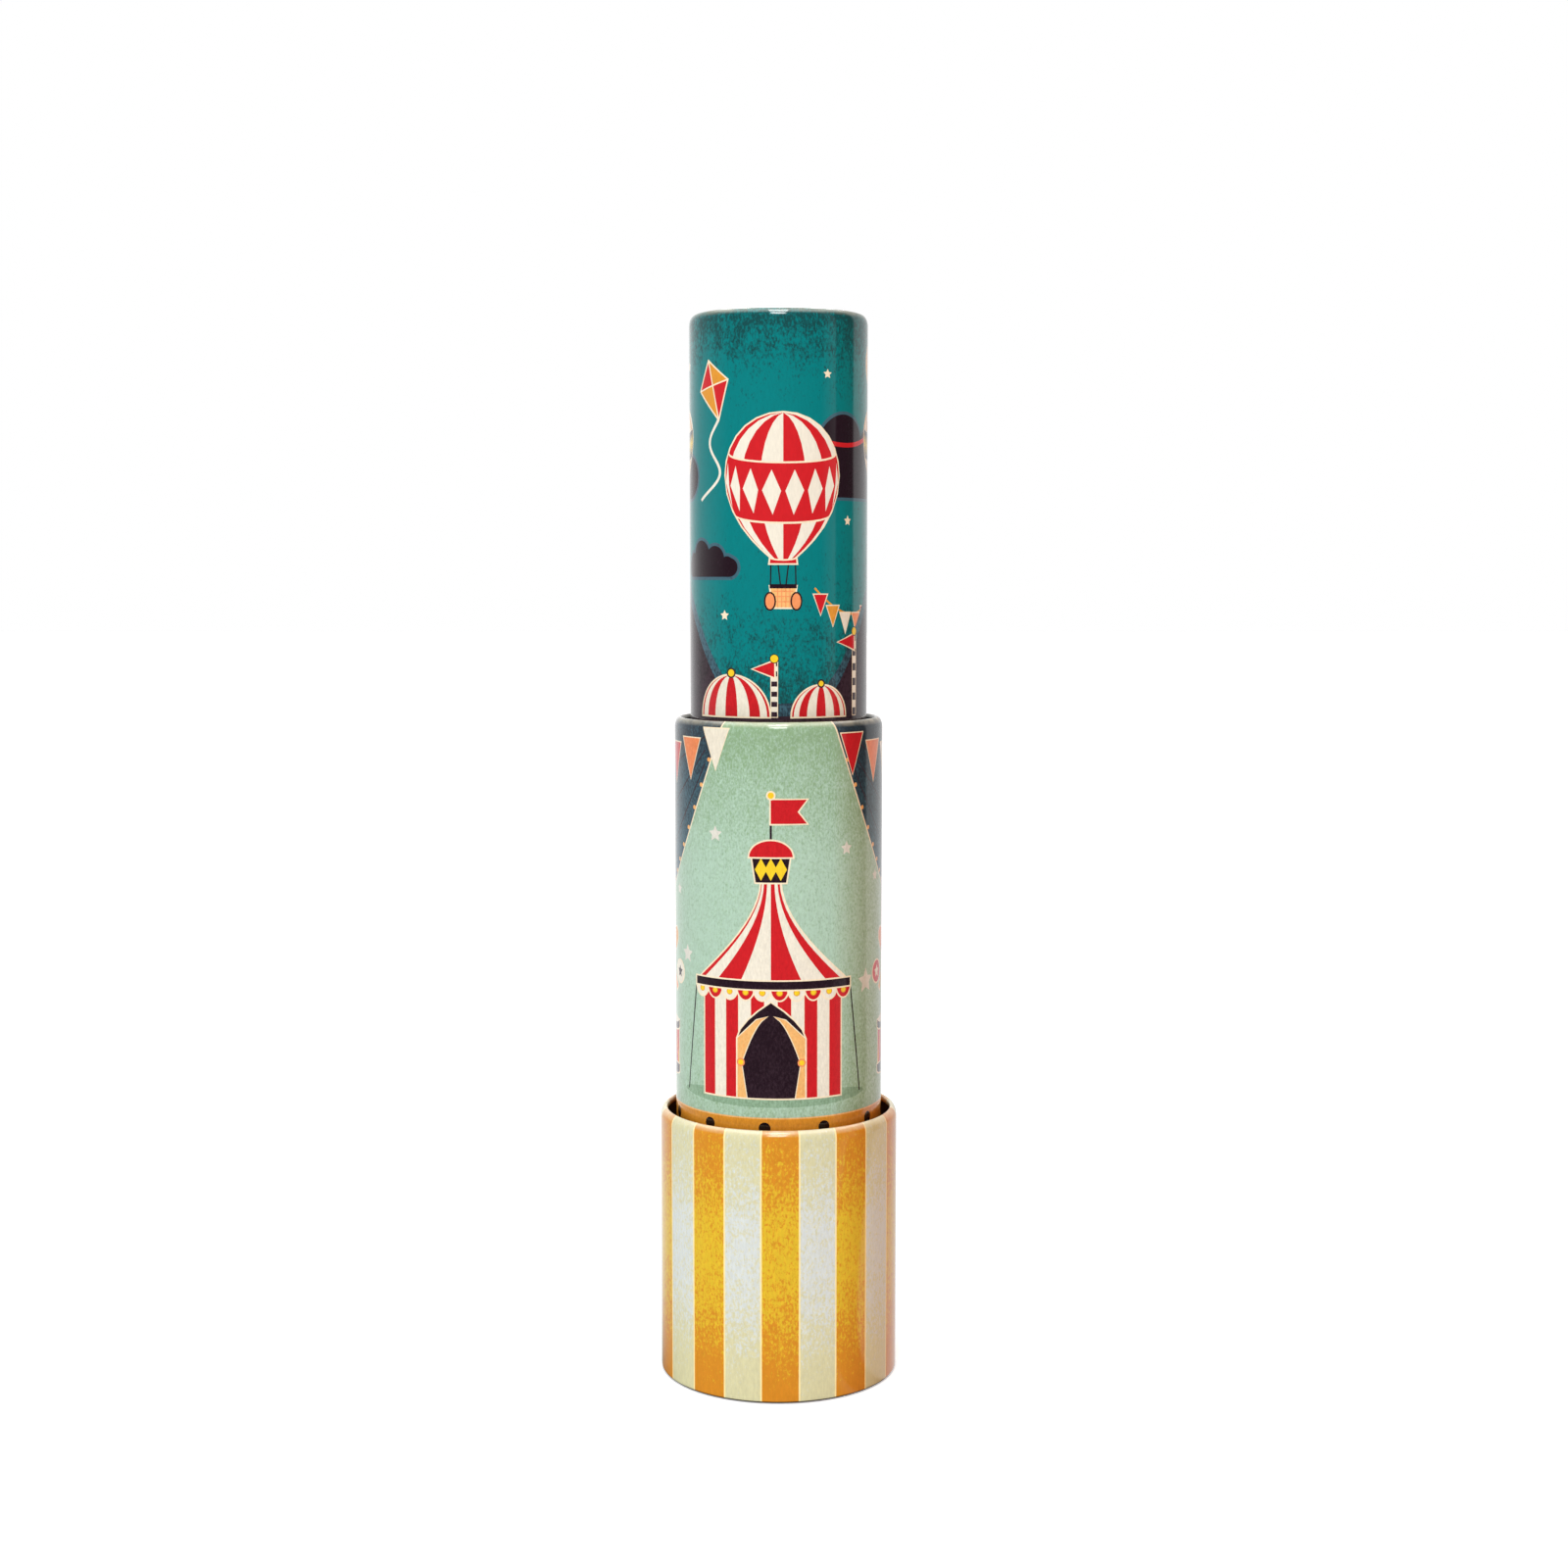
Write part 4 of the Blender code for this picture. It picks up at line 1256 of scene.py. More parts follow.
def printed_tube(name, node, body, radius, section, ground, art, tin):
    """Prints a sheet, rolls it on its section and puts it in the node's place."""
    section = section + section[:1]
    levels = distances(section)
    width = math.tau * radius
    wall = [i for i, (r, _) in enumerate(section) if abs(r - radius) < CLOSE]
    foot, top = section[wall[0]][1], section[wall[-1]][1]
    flat = sheet_mesh(name, width, levels, (levels[wall[0]], foot, top), ground, art(width))
    helper = section_curve(section)
    values = {"Section": helper, "Radius": radius, "Width": width, "Seam width": SEAM_WIDTH}
    values |= {"Seam depth": SEAM_DEPTH, "Weld": WELD, "Print": tin, "Lacquer": lacquer_and_shade}
    tube = grow(roller, name, flat, values)
    print("its corners have", true_normals(tube.data, section, levels, radius, width), "true normals")
    bpy.data.objects.remove(helper)
    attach(tube, body)
    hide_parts(node)


FOOT_WIDTH = 0.0028
FOOT_HEM = 0.0006
FOOT_CORNER = 0.0007
FOOT_BEND = 0.0002          # where the folded foot's edge turns back
HEM_BEND = 0.0004
FLANGE_BEND = 0.00012
FLANGE_FOOT_BEND = 0.0003   # where the flange turns up into the wall
RIM_HOLD = 0.0002           # from the rolled rim to the points that keep the walls flat


def base_section():
    """From the folded foot's inner edge, out and up the wall, over the rim and back down inside."""
    inner, lining = BASE_RADIUS - FOOT_WIDTH, BASE_RADIUS - TIN
    wall = [(inner, 0, FOOT_BEND), (BASE_RADIUS, 0, FOOT_CORNER), (BASE_RADIUS, BASE_TOP - RIM_SHOULDER, 0)]
    wall += [(lining, BASE_TOP - RIM_CURL, 0), (lining, FOOT_HEM, HEM_BEND), (inner, FOOT_HEM, FOOT_BEND)]
    return with_rim(bent(wall), BASE_RADIUS, BASE_TOP)


def flanged_section(radius, low, top, flange):
    """From under the flange, out round its edge, up the wall, over the rim and down inside."""
    lining, high = radius - TIN, low + TIN
    wall = [(lining, low, FLANGE_BEND), (flange, low, FLANGE_BEND), (flange, high, FLANGE_BEND)]
    wall += [(radius, high, FLANGE_FOOT_BEND), (radius, top - RIM_SHOULDER, 0), (lining, top - RIM_CURL, 0)]
    return with_rim(bent(wall), radius, top)


def with_rim(outline, radius, top):
    """Puts the rolled rim between the two places where it leaves the walls."""
    leaves = (radius, top - RIM_SHOULDER)
    start = next(i for i, p in enumerate(outline) if math.dist(p, leaves) < CLOSE)
    rim = [(radius, top - RIM_SHOULDER - RIM_HOLD)] + rim_roll(radius, top)
    rim += [(radius - TIN, rim[-1][1] - RIM_HOLD)]
    return outline[:start] + rim + outline[start + 2 :]


print("the base's section is", round(1000 * distances(base_section())[-1]), "mm long")

# %% Print and roll the three tubes
printed_tube(
    "base_printed_tube", "base_sleeve", "base", BASE_RADIUS, base_section(),
    "stripe cream", base_print, stripe_tin,
)
barrel_low, barrel_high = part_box("barrel_tube")
printed_tube(
    "barrel_printed_tube", "barrel_tube", "barrel", BARREL_RADIUS,
    flanged_section(BARREL_RADIUS, barrel_low.z, BARREL_TOP, barrel_high.x),
    "mint", barrel_print, mint_tin,
)
draw_low, draw_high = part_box("draw_tube")
printed_tube(
    "draw_printed_tube", "draw_tube", "draw", DRAW_RADIUS,
    flanged_section(DRAW_RADIUS, draw_low.z, DRAW_TOP, draw_high.x),
    "teal", draw_print, teal_tin,
)

# %% [markdown]
# ## Turning on a lathe
# The round mouldings inside are drawn as half a section and spun about the tube's axis. A Screw
# modifier would do it too. Here a grid is bent to the section by nodes, which keeps every point
# of the section, closes the poles and leaves the facets as a plain number.


# %% The tree that spins a section
def build_lathe():
    """Bends a grid round the axis, with one row of it at each point of the section."""
    sockets = {"Section": "Object", "Facets": "Int", "Weld": "Float", "Finish": "Material"}
    tree, given = shape_tree("spin_a_section", sockets)
    section = add_node(tree, "GeometryNodeObjectInfo", [given["Section"]], output="Geometry")
    count = add_node(tree, "GeometryNodeAttributeDomainSize", [section], component="CURVE")
    columns = math_node(tree, "ADD", given["Facets"], 1.0)
    sheet = {"Size X": 1.0, "Size Y": 1.0, "Vertices X": columns, "Vertices Y": count}
    sheet = add_node(tree, "GeometryNodeMeshGrid", sheet)
    way = add_node(tree, "ShaderNodeSeparateXYZ", [add_node(tree, "GeometryNodeInputPosition")])
    last = math_node(tree, "SUBTRACT", count, 1.0)
    row = math_node(tree, "ADD", way.node.outputs["Y"], 0.5)
    row = math_node(tree, "ROUND", math_node(tree, "MULTIPLY", row, last))
    spot = add_node(tree, "GeometryNodeInputPosition")
    picked = {"Geometry": section, "Value": spot, "Index": row}
    picked = add_node(tree, "GeometryNodeSampleIndex", picked, data_type="FLOAT_VECTOR")
    radius = add_node(tree, "ShaderNodeSeparateXYZ", [picked])
    angle = math_node(tree, "MULTIPLY", way, math.tau)
    spun_round = round_axis(tree, radius, angle, radius.node.outputs["Z"])
    shape = moved_and_welded(tree, sheet, spun_round, given["Weld"])
    end_tree(tree, add_node(tree, "GeometryNodeSetShadeSmooth", [shape]), given["Finish"])
    return tree


lathe = build_lathe()
FACETS = 144
print("the spinning tree has", len(lathe.nodes), "nodes")


def spun(name, outline, finish, facets=FACETS):
    """Spins a (radius, height) outline. One that closes on itself ends at its first point."""
    helper = section_curve(outline)
    start = bpy.data.meshes.new(name)
    values = {"Section": helper, "Facets": facets, "Weld": WELD, "Finish": finish}
    piece = grow(lathe, name, start, values)
    bpy.data.objects.remove(helper)
    return piece


def put(piece, node):
    """Lets the piece stand for a node, and move with that node's body."""
    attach(piece, nodes[node]["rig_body"])
    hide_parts(node)
    return piece


# %% [markdown]
# ## Moulded plastic
# Cheap mouldings share one look: an even colour with faint clouds where the plastic flowed, and
# the fine spark-eroded texture of the mould, which breaks up the gloss.


# %% Make moulded plastic
MOULD_GRAIN = 1800.0
PLASTIC_IOR = 1.49          # how strongly clear plastic bends light


def moulded_plastic(name, dark, light, roughness, depth=0.15, values=()):
    """Plastic that wanders between two tones, with the grain of its mould."""
    material, tree, shader = new_finish(name, values)
    place = object_place(tree)
    clouds = noise(tree, place, 90.0, 3.0)
    tone_between(tree, shader, ranged(tree, clouds, 0.3, 0.7), dark, light)
    sparks = noise(tree, place, MOULD_GRAIN, 3.0, 0.7)
    gloss_between(tree, shader, sparks, 0.3, 0.7, roughness - 0.06, roughness + 0.08)
    embossed(tree, shader, sparks, depth, 0.0001)
    return material


dull = {"Specular IOR Level": 0.3}
black_plastic = moulded_plastic("black_moulded_plastic", "0E0E0F", "171719", 0.46, values=dull)
white_plastic = moulded_plastic("white_moulded_plastic", "DAD8D0", "E6E4DC", 0.38)
print(black_plastic.name, "and", white_plastic.name, "are ready")


# %% Make the milky and the clear plastic
def clear_plastic():
    """Clear sheet with a faint haze of handling."""
    values = {"Transmission Weight": 1.0, "IOR": PLASTIC_IOR}
    material, tree, shader = new_finish("clear_window_plastic", values)
    haze = noise(tree, object_place(tree), 500.0, 3.0)
    tint = mixed(tree, haze, (0.96, 0.98, 0.97, 1), (0.99, 0.99, 0.99, 1))
    tree.links.new(tint, shader.inputs["Base Color"])
    gloss_between(tree, shader, haze, 0.45, 0.8, 0.01, 0.05)
    return material


# the screen lets light through but no picture
milky = {"Transmission Weight": 0.55, "IOR": PLASTIC_IOR}
screen_plastic = moulded_plastic("milky_screen_plastic", "DEDEDA", "ECECE8", 0.5, 0.3, milky)
window_plastic = clear_plastic()
print(screen_plastic.name, "and", window_plastic.name, "are ready")

# %% [markdown]
# ## The eyepiece
# A black cup closes the top under the rim. The eye rests on its raised lip, so the lip is
# rounded, and a fine moulded ring runs half way out. Corner by corner, this is half its section.

# %% Spin the eyepiece cup
CUP_WALL = 0.0012
CUP_PLATE = 0.0015
LIP_RISE = 0.0010
LIP_RADIUS = 0.0069
PEEPHOLE_RADIUS = 0.0045
CUP_RING = 0.0120
RELIEF = 0.0003             # depth of what is moulded into a flat face
cup_low, cup_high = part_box("eyepiece_cup")
cup_radius, plate_top = cup_high.x, cup_low.z + CUP_PLATE
cup = [
    (PEEPHOLE_RADIUS, cup_low.z, 0.0002),
    (cup_radius, cup_low.z, 0.0003),
    (cup_radius, cup_high.z, 0.0003),
    (cup_radius - CUP_WALL, cup_high.z, 0.0003),
    (cup_radius - CUP_WALL, plate_top, 0.0009),
    (CUP_RING + 0.0005, plate_top, 0.0001),
    (CUP_RING + 0.0004, plate_top - RELIEF, 0.0001),
    (CUP_RING - 0.0004, plate_top - RELIEF, 0.0001),
    (CUP_RING - 0.0005, plate_top, 0.0001),
    (LIP_RADIUS, plate_top, 0.0004),
    (LIP_RADIUS - 0.0002, plate_top + LIP_RISE, 0.0005),
    (PEEPHOLE_RADIUS, plate_top + LIP_RISE, 0.0008),
]
cup = bent(cup)
put(spun("eyepiece_moulded_cup", cup + cup[:1], black_plastic), "eyepiece_cup")

# %% [markdown]
# ## The screen at the foot
# Seen from below, the toy ends in a milky disc that lights the beads. Its edge is rounded, a
# shallow ring is moulded near it, and a dimple marks where the plastic was let in.

# %% Spin the light screen
SCREEN_RING = 0.0205
DIMPLE_FLOOR, DIMPLE_EDGE = 0.0009, 0.0013
screen_low, screen_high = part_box("light_screen")
screen = [
    (0, screen_low.z + RELIEF, 0),
    (DIMPLE_FLOOR, screen_low.z + RELIEF, 0.0002),
    (DIMPLE_EDGE, screen_low.z, 0.0002),
    (SCREEN_RING - 0.0006, screen_low.z, 0.0002),
    (SCREEN_RING - 0.0003, screen_low.z + RELIEF, 0.0001),
    (SCREEN_RING + 0.0003, screen_low.z + RELIEF, 0.0001),
    (SCREEN_RING + 0.0006, screen_low.z, 0.0002),
    (screen_high.x, screen_low.z, 0.0004),
    (screen_high.x, screen_high.z, 0.0004),
    (0, screen_high.z, 0),
]
put(spun("milky_light_screen", bent(screen), screen_plastic), "light_screen")

# %% [markdown]
# ## Felt
# The draw tube slides in a felt ring, which grips it at any length. Felt is matted fibre: a soft
# body with loose hairs. The body is spun a little small, and nodes scatter short hairs over it.


# %% Make the felt and its tree
def felt():
    """Matted dark fibre, with a soft sheen where it turns away."""
    material, tree, shader = new_finish("charcoal_felt", {"Sheen Weight": 0.4})
    matted = noise(tree, object_place(tree), 1400.0, 4.0, 0.7)
    tone_between(tree, shader, ranged(tree, matted, 0.3, 0.7), "1B1A1C", "343236")
    gloss_between(tree, shader, matted, 0.3, 0.7, 0.85, 1.0)
    embossed(tree, shader, matted, 0.6, 0.0003)
    return material


def build_fuzz():
    """Adds short leaning hairs to a surface."""
    sockets = {"Hairs per m2": "Float", "Length": "Float", "Thickness": "Float"}
    sockets |= {"Seed": "Int", "Felt": "Material"}
    tree, given = shape_tree("felt_fuzz", sockets)
    scatter = {"Mesh": given["Geometry"], "Density": given["Hairs per m2"], "Seed": given["Seed"]}
    roots = add_node(tree, "GeometryNodeDistributePointsOnFaces", scatter)
    lean = {"Min": (-0.6, -0.6, 0.0), "Max": (0.6, 0.6, math.tau), "Seed": given["Seed"]}
    lean = add_node(tree, "FunctionNodeRandomValue", lean, data_type="FLOAT_VECTOR")
    rotation = roots.node.outputs["Rotation"]
    turn = add_node(tree, "FunctionNodeRotateRotation", [rotation, lean], rotation_space="LOCAL")
    hair = {"Radius Top": 0.0, "Radius Bottom": given["Thickness"], "Depth": given["Length"], "Vertices": 3}
    hair = add_node(tree, "GeometryNodeMeshCone", hair)
    hairs = {"Points": roots, "Instance": hair, "Rotation": turn}
    hairs = add_node(tree, "GeometryNodeInstanceOnPoints", hairs)
    join = tree.nodes.new("GeometryNodeJoinGeometry")
    tree.links.new(given["Geometry"], join.inputs[0])
    tree.links.new(hairs, join.inputs[0])
    end_tree(tree, join.outputs[0], given["Felt"])
    return tree


charcoal_felt, fuzz = felt(), build_fuzz()
print("the hair tree has", len(fuzz.nodes), "nodes")

# %% Spin the felt ring and raise its nap
HAIR = 0.0003
HAIR_THICKNESS = 0.00003
HAIRS_PER_M2 = 9e6
felt_low, felt_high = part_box("felt_ring")
felt_inner = DRAW_RADIUS + 0.0003
felt_ring = [
    (felt_inner + HAIR / 2, felt_low.z + HAIR, 0.0004),
    (felt_high.x - HAIR, felt_low.z + HAIR, 0.0004),
    (felt_high.x - HAIR, felt_high.z - HAIR, 0.0007),
    (felt_inner + HAIR / 2, felt_high.z - HAIR, 0.0007),
]
felt_ring = bent(felt_ring)
felt_body = spun("felt_body", felt_ring + felt_ring[:1], None, 96)
nap = {"Hairs per m2": HAIRS_PER_M2, "Length": HAIR, "Thickness": HAIR_THICKNESS}
nap |= {"Seed": 7, "Felt": charcoal_felt}
felt_piece = grow(fuzz, "felt_slide_ring", felt_body.data, nap)
bpy.data.objects.remove(felt_body)
put(felt_piece, "felt_ring")

# %% [markdown]
# ## Softened edges
# The rings, strips and beads inside keep the shapes of the model, but no moulding or cut strip
# has a knife edge. Each is copied, its triangles are joined back into flat faces, and its edges
# are bevelled by a small width.


# %% Copy a node with its edges softened
FLAT = math.radians(1)      # faces that meet at less than this are joined
CREASE = math.radians(25)   # and edges sharper than this are bevelled
EDGE = 0.0002
THIN_EDGE = 0.0001


def softened(node, name, width, finishes, segments=3):
    """A copy of the node's solid with bevelled edges, put in its place."""
    shape = bmesh.new()
    shape.from_mesh(nodes[node].data)
    bmesh.ops.remove_doubles(shape, verts=shape.verts, dist=WELD)
    bmesh.ops.dissolve_limit(shape, angle_limit=FLAT, verts=shape.verts, edges=shape.edges)
    edges = [e for e in shape.edges if e.is_manifold and e.calc_face_angle() > CREASE]
    bmesh.ops.bevel(shape, geom=edges, offset=width, segments=segments, affect="EDGES", clamp_overlap=True)
    mesh = bpy.data.meshes.new(name)
    shape.to_mesh(mesh)
    shape.free()
    mesh.shade_smooth()
    mesh.set_sharp_from_angle(angle=CREASE)
    for finish in finishes:
        mesh.materials.append(finish)
    piece = bpy.data.objects.new(name, mesh)
    bpy.context.scene.collection.objects.link(piece)
    return put(piece, node)


MOULDED = {
    "cell_ring": ("bead_cell_wall", white_plastic, "white_plastic"),
    "base_bush": ("barrel_bearing_ring", black_plastic, "black_plastic"),
    "mirror_socket": ("mirror_foot_plug", black_plastic, "black_plastic"),
    "mirror_guide": ("mirror_head_guide", black_plastic, "black_plastic"),
    "draw_stop": ("felt_stop_ring", black_plastic, "black_plastic"),
    "cell_window": ("bead_cell_window", window_plastic, "clear_plastic"),
    "eye_window": ("eyepiece_window", window_plastic, "clear_plastic"),
}
for node, (name, finish, slot) in MOULDED.items():
    softened(node, name, EDGE, [finish])
print(len(MOULDED), "mouldings")

# %% [markdown]
# ## Spring steel, mirrors and tape
# Split rings of bright spring steel hold the windows. The mirrors are strips silvered on the
# side that faces the sight line and painted dark on the other, and cloth tape binds them.


# %% Make the metals and the tape
def spring_steel():
    """Drawn steel, with fine lines along the ring."""
    material, tree, shader = new_finish("drawn_spring_steel", {"Metallic": 1.0})
    drawn = noise(tree, stretched(tree, object_place(tree), (1, 1, 14)), 350.0, 3.0, 0.6)
    tone_between(tree, shader, drawn, "8E9094", "C2C4C8")
    gloss_between(tree, shader, drawn, 0.3, 0.7, 0.22, 0.36)
    return material


def silvering():
    """A mirror's bright coat, with a breath of haze."""
    material, tree, shader = new_finish("bright_silvering", {"Metallic": 1.0})
    breath = noise(tree, object_place(tree), 70.0, 4.0)
    tone_between(tree, shader, breath, "E4E8E8", "F4F6F6")
    gloss_between(tree, shader, breath, 0.4, 0.8, 0.01, 0.05)
    return material


def cloth_tape():
    """Black adhesive cloth: two crossed sets of fine ribs under a dull coating."""
    material, tree, shader = new_finish("black_cloth_tape")
    ribs = {"Vector": object_place(tree), "Scale": 420.0}
    level = add_node(tree, "ShaderNodeTexWave", ribs, output="Fac", bands_direction="Z")
    upright = add_node(tree, "ShaderNodeTexWave", ribs, output="Fac", bands_direction="X")
    weave = math_node(tree, "MAXIMUM", level, upright)
    tone_between(tree, shader, weave, "0E0E0F", "242426")
    gloss_between(tree, shader, weave, 0.0, 1.0, 0.7, 0.5)
    embossed(tree, shader, weave, 0.5, 0.0001)
    return material


steel, silver, tape = spring_steel(), silvering(), cloth_tape()
back_paint = moulded_plastic("dark_mirror_backing", "26282B", "303236", 0.55)
for finish in (steel, silver, tape, back_paint):
    print(finish.name, "is ready")

# %% Fit the springs, mirrors and tape
softened("window_keeper", "cell_spring_ring", EDGE, [steel])
softened("eye_keeper", "eyepiece_spring_ring", EDGE, [steel])
for band in ("lower", "upper"):
    softened("tape_band_" + band, "tape_wrap_" + band, THIN_EDGE, [tape])
for way in ("front", "right", "left"):
    mirror, finishes = "mirror_" + way, [back_paint, silver]
    strip = softened(mirror, "mirror_strip_" + way, THIN_EDGE, finishes, segments=2)
    for face in strip.data.polygons:
        inward = -Vector((face.center.x, face.center.y, 0)).normalized()
        face.material_index = int(face.normal.dot(inward) > 0.5)
    silvered = sum(face.material_index for face in strip.data.polygons)
    print(strip.name, "has", silvered, "silvered faces")

# %% [markdown]
# ## Beads
# The picture is made by loose beads and chips in clear bright colours. Round ones are strung
# beads, so they are spun with their hole; the others are copied with softened edges.


# %% Make the beads
def bead_plastic(name, code):
    """Clear coloured plastic with faint swirls."""
    values = {"Transmission Weight": 0.8, "IOR": PLASTIC_IOR}
    material, tree, shader = new_finish(name, values)
    swirl = noise(tree, object_place(tree), 400.0, 3.0)
    deep = tuple(0.75 * v for v in linear(code))
    colour = mixed(tree, ranged(tree, swirl, 0.3, 0.7), paint(code), (*deep, 1))
    tree.links.new(colour, shader.inputs["Base Color"])
    gloss_between(tree, shader, swirl, 0.3, 0.7, 0.03, 0.12)
    return material


BEADS = {
    "ruby": "D4203A", "amber": "F08A1C", "lemon": "F2D21E",
    "emerald": "1E9E52", "sapphire": "1F56C8", "violet": "7A35B8",
}
bead_plastics = {name: bead_plastic(name + "_bead_plastic", code) for name, code in BEADS.items()}
BEAD_HOLE = 0.0005
BEAD_SHARE = 0.995          # a spun bead's size, of its solid's
BEAD_STEPS = 24
BEAD_FACETS = 40


def round_bead(node, name, finish):
    """A ball spun with its hole upright, put in its node's place."""
    low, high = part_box(node)
    middle, radius = (low + high) / 2, (high.z - low.z) / 2 * BEAD_SHARE
    first = math.asin(BEAD_HOLE / radius)
    turns = [first + (math.pi - 2 * first) * i / BEAD_STEPS for i in range(BEAD_STEPS + 1)]
    outline = [(radius * math.sin(t), -radius * math.cos(t)) for t in turns]
    piece = spun(name, outline + outline[:1], finish, BEAD_FACETS)
    piece.data.transform(Matrix.Translation(middle))
    put(piece, node)


beads = sorted(n for n in nodes if n.startswith("bead_"))
for node in beads:
    slot = nodes[node].material_slots[0].material.name
    finish = bead_plastics[slot.split("_")[0]]
    if node.endswith("ball"):
        round_bead(node, node + "_spun", finish)
    else:
        softened(node, node + "_soft", EDGE, [finish])
print(len(beads), "beads in", len(bead_plastics), "colours")

# %% [markdown]
# ## Camera, floor and light
# The camera stands where a fitted view of the three rims puts it. The object stands on a pale
# floor under soft light from all round. The camera sees a plain white backdrop, and a floor that
# glows a little to match it, while the light itself stays at a level that keeps a colour as it
# was written.

# %% Place the camera
CAMERA_PLACE = (0.00115, -0.4716, 0.1684)
CAMERA_PITCH = 84.68
CAMERA_LENS = 51.9
camera = bpy.data.objects.new("camera", bpy.data.cameras.new("camera"))
camera.location = CAMERA_PLACE
camera.rotation_euler = (math.radians(CAMERA_PITCH), 0, 0)
camera.data.lens = CAMERA_LENS
camera.data.sensor_width = 36
camera.data.clip_start = 0.01
bpy.context.scene.collection.objects.link(camera)
bpy.context.scene.camera = camera
bpy.context.scene.view_settings.view_transform = "Standard"
print("the camera looks from", CAMERA_PLACE)

# %% [markdown]
# Varnish mirrors what stands round it. Behind the tube that is the bright backdrop, which edges
# the sides with light, and in front it is the dark end of the studio, which keeps the inks deep.
# One rule on direction serves both the world and the floor, so no horizon shows in the varnish.


# %% Say what the varnish mirrors
FRONT_LEVEL = 0.03
SIDE_LEVEL = 0.55
BEHIND_LEVEL = 0.6          # what straight behind adds to it
RIGHT_LEVEL = 0.80
WINDOW_LEVEL = 0.40


def backdrop_level(tree, way):
    """How bright the studio is in a direction, with a window in the dark end on the right."""
    behind = add_node(tree, "ShaderNodeSeparateXYZ", [way], output="Y")
    left = ranged(tree, behind, -0.40, 0.50, FRONT_LEVEL, SIDE_LEVEL)
    left = math_node(tree, "ADD", left, ranged(tree, behind, 0.50, 1.0, 0.0, BEHIND_LEVEL))
    right = ranged(tree, behind, 0.35, 0.42, FRONT_LEVEL, RIGHT_LEVEL)
    sides = ranged(tree, behind.node.outputs["X"], -0.05, 0.05)
    window = ranged(tree, behind, -0.55, -0.24, 0.0, WINDOW_LEVEL)
    window = math_node(tree, "MULTIPLY", window, ranged(tree, behind, -0.22, -0.17, 1.0, 0.0))
    right = math_node(tree, "ADD", right, window)
    return add_node(tree, "ShaderNodeMix", [sides, None, left, right])


def ray_kinds(tree):
    """1 for a ray from the camera, and 1 for one that a mirror or a clear piece sends on."""
    camera_ray = add_node(tree, "ShaderNodeLightPath")
    kinds = camera_ray.node.outputs
    return camera_ray, math_node(tree, "MAXIMUM", kinds["Is Glossy Ray"], kinds["Is Transmission Ray"])


print("mirrored light runs from", FRONT_LEVEL, "in front to", SIDE_LEVEL + BEHIND_LEVEL, "behind")

# %% [markdown]
# Varnish mirrors the floor as well, by the same rule on the direction from the tube. On the right
# and near the tube, the floor counts as further behind than it is. The bright line in the varnish
# then runs down to the foot, as it does over a floor that catches light beside the tube.


# %% Lay the floor
FLOOR_SIZE = 12.0
FLOOR_DROP = 0.0001         # below the foot, so that the two faces don't meet
FLOOR_GLOW = 0.38
FLOOR_PAINT = (0.86, 0.86, 0.86, 1)
LIT_NEAR, LIT_FAR, LIT_TURN = 0.04, 0.30, 0.9


def pale_floor():
    """Pale and a little bright for the camera, and the studio's brightness for the varnish."""
    values = {"Base Color": FLOOR_PAINT, "Roughness": 0.9, "Specular IOR Level": 0.1}
    values |= {"Emission Color": (1, 1, 1, 1)}
    material, tree, shader = new_finish("pale_floor", values)
    camera_ray, mirror_ray = ray_kinds(tree)
    glow = math_node(tree, "MULTIPLY", camera_ray, FLOOR_GLOW)
    tree.links.new(glow, shader.inputs["Emission Strength"])
    place = object_place(tree)
    spot = add_node(tree, "ShaderNodeSeparateXYZ", [place])
    far = math_node(tree, "LENGTH", place, kind="ShaderNodeVectorMath", output="Value")
    lit = ranged(tree, far, LIT_NEAR, LIT_FAR, LIT_TURN, 0.0)
    lit = math_node(tree, "MULTIPLY", lit, math_node(tree, "MAXIMUM", spot, 0.0))
    back = math_node(tree, "ADD", spot.node.outputs["Y"], lit)
    way = add_node(tree, "ShaderNodeCombineXYZ", [spot, back, 0.0])
    way = math_node(tree, "NORMALIZE", way, kind="ShaderNodeVectorMath")
    mirrored = add_node(tree, "ShaderNodeEmission", {"Strength": backdrop_level(tree, way)})
    shown = add_node(tree, "ShaderNodeMixShader", [mirror_ray, shader.outputs[0], mirrored])
    tree.links.new(shown, tree.nodes["Material Output"].inputs["Surface"])
    return material


floor_mesh = bpy.data.meshes.new("floor")
half = FLOOR_SIZE / 2
floor_corners = [(-half, -half, 0), (half, -half, 0), (half, half, 0), (-half, half, 0)]
floor_mesh.from_pydata(floor_corners, [], [(0, 1, 2, 3)])
floor_mesh.materials.append(pale_floor())
floor = bpy.data.objects.new("floor", floor_mesh)
floor.location.z = -FLOOR_DROP
bpy.context.scene.collection.objects.link(floor)
print("the floor is", FLOOR_SIZE, "m wide")

# %% [markdown]
# The soft light is the world itself: a little stronger from the front and the left, and dim and
# orange from the right, which shades and warms that side. For the varnish, the world also holds a
# bright strip and a bright ceiling. Upright walls look down into neither, but the rims mirror them.

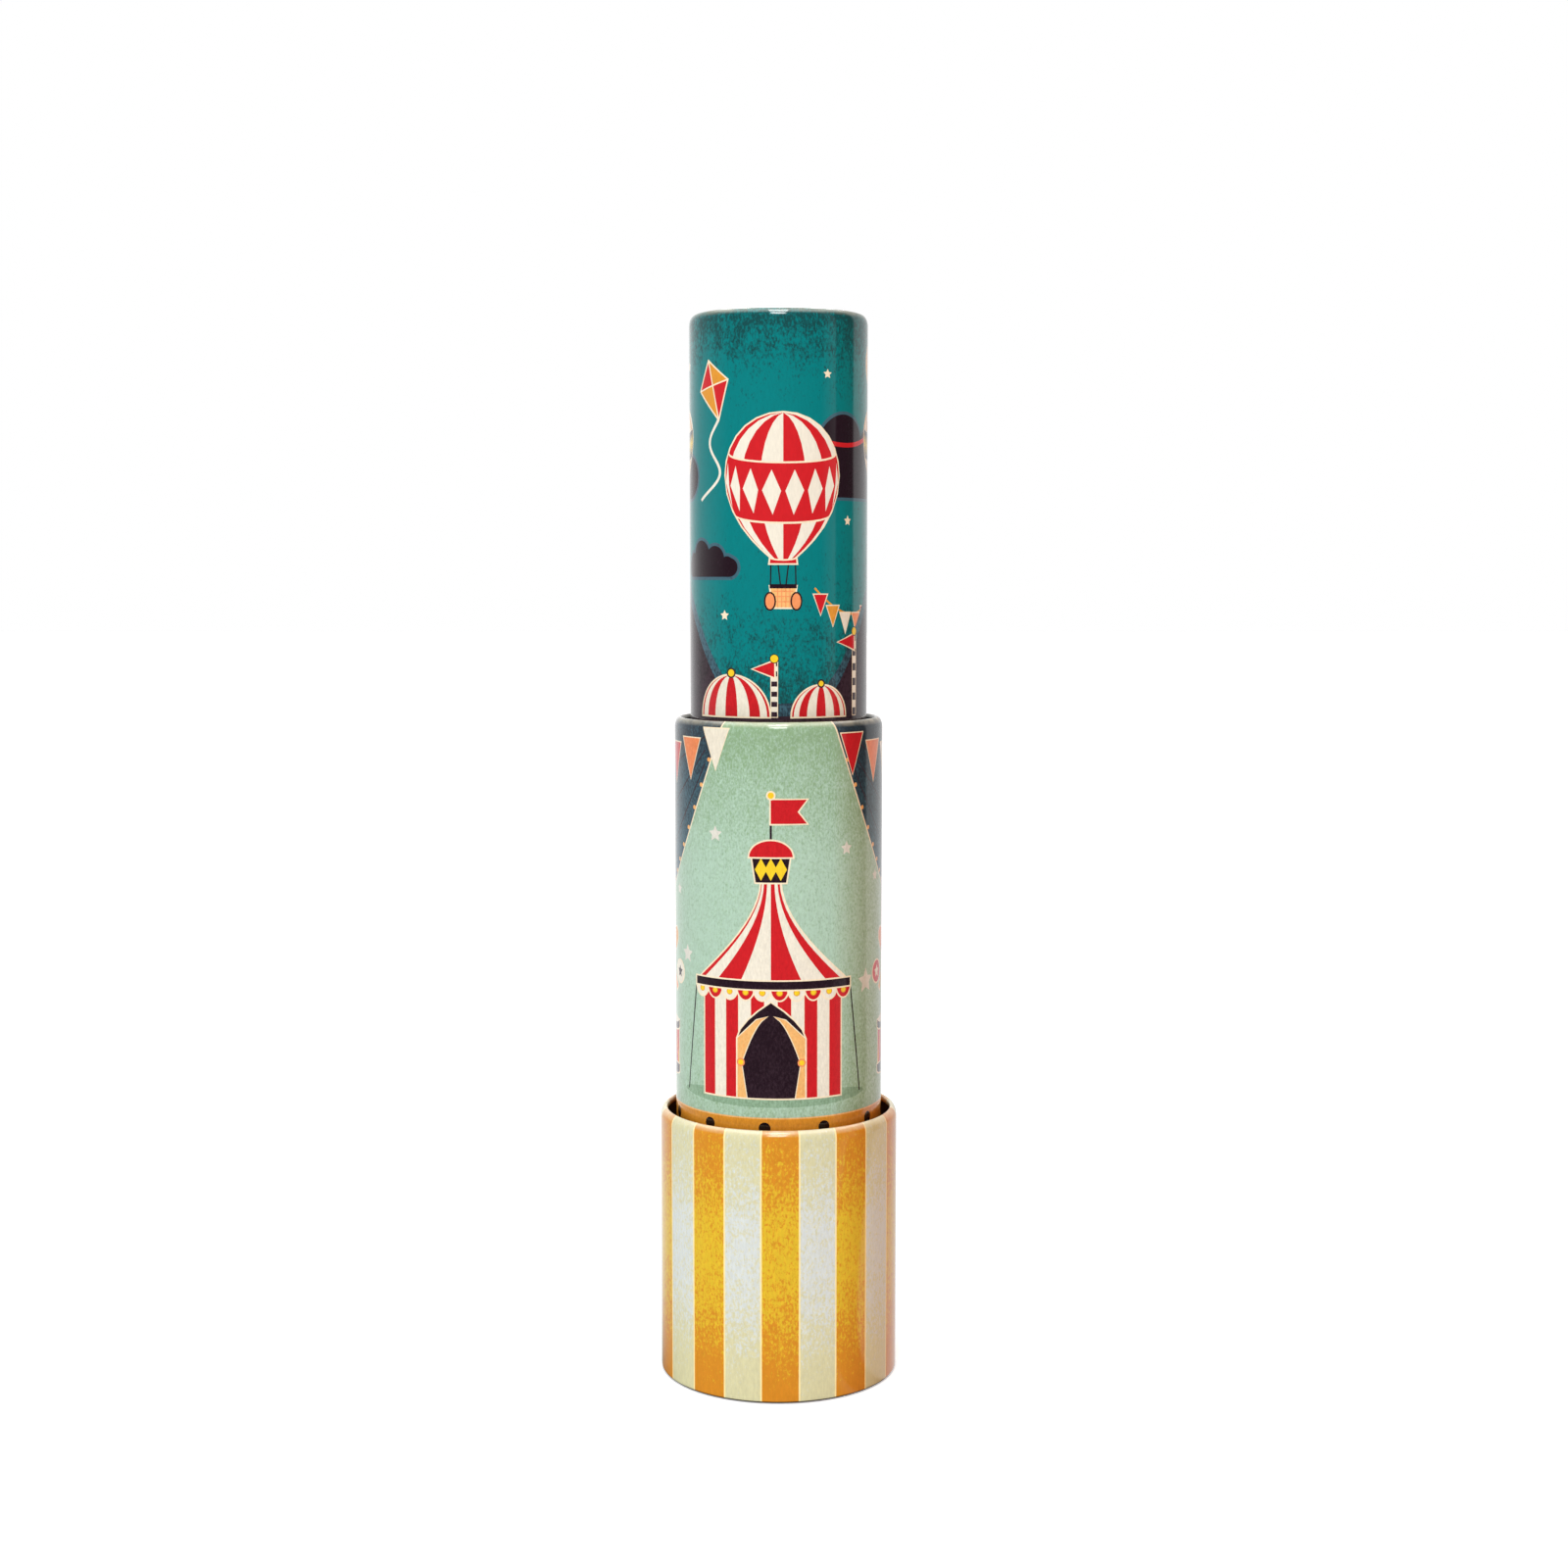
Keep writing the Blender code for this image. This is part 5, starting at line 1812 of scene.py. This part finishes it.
# %% Light the world
WORLD_STRENGTH = 0.86
FRONT_LIGHT = 1.10
OVERHEAD_LEVEL = 3.0
STRIP_LEVEL = 16.0
SHADED_SIDE = "B05A10"
LEFT_LIGHT = 0.16
world = bpy.data.worlds.new("studio")
world.use_nodes = True
bpy.context.scene.world = world
sky = world.node_tree
sky.nodes.clear()
camera_ray, mirror_ray = ray_kinds(sky)
way = add_node(sky, "ShaderNodeTexCoord", output="Generated")
behind = add_node(sky, "ShaderNodeSeparateXYZ", [way], output="Y")
side = behind.node.outputs["X"]
above = behind.node.outputs["Z"]
backdrop = backdrop_level(sky, way)
strip = ranged(sky, math_node(sky, "ABSOLUTE", side), 0.11, 0.17, STRIP_LEVEL, 0.0)
lower_edge = ranged(sky, above, 0.44, 0.50)
upper_edge = ranged(sky, above, 0.62, 0.68, 1.0, 0.0)
strip = math_node(sky, "MULTIPLY", math_node(sky, "MULTIPLY", strip, lower_edge), upper_edge)
overhead = ranged(sky, above, 0.62, 0.80, 0.0, OVERHEAD_LEVEL)
backdrop = math_node(sky, "ADD", backdrop, math_node(sky, "ADD", strip, overhead))
shade = ranged(sky, side, 0.42, 0.74)
light = mixed(sky, shade, (1, 1, 1, 1), paint(SHADED_SIDE))
facing = ranged(sky, behind, -0.80, 0.20, FRONT_LIGHT, WORLD_STRENGTH)
facing = math_node(sky, "ADD", facing, ranged(sky, side, -0.90, -0.20, LEFT_LIGHT, 0.0))
soft = add_node(sky, "ShaderNodeBackground", [light, facing])
gloss = add_node(sky, "ShaderNodeBackground", [(1, 1, 1, 1), backdrop])
white = add_node(sky, "ShaderNodeBackground", [(1, 1, 1, 1), 1.0])
shown = add_node(sky, "ShaderNodeMixShader", [mirror_ray, soft, gloss])
shown = add_node(sky, "ShaderNodeMixShader", [camera_ray, shown, white])
sky_output = sky.nodes.new("ShaderNodeOutputWorld")
sky.links.new(shown, sky_output.inputs["Surface"])
print("world strength", WORLD_STRENGTH)


# %% Hang the lamps
def softbox(name, place, target, size, power):
    """A rectangular lamp at a place, turned to face a target."""
    lamp = bpy.data.lights.new(name, "AREA")
    lamp.shape = "RECTANGLE"
    lamp.size, lamp.size_y = size
    lamp.energy = power
    holder = bpy.data.objects.new(name, lamp)
    holder.location = place
    holder.rotation_euler = (Vector(place) - Vector(target)).to_track_quat("Z", "Y").to_euler()
    bpy.context.scene.collection.objects.link(holder)


AIM = (0, 0, 0.11)          # half way up the tube
softbox("overhead_softbox", place=(0, -0.5, 0.95), target=AIM, size=(0.3, 0.3), power=3.6)
print("one softbox, aimed at", AIM)
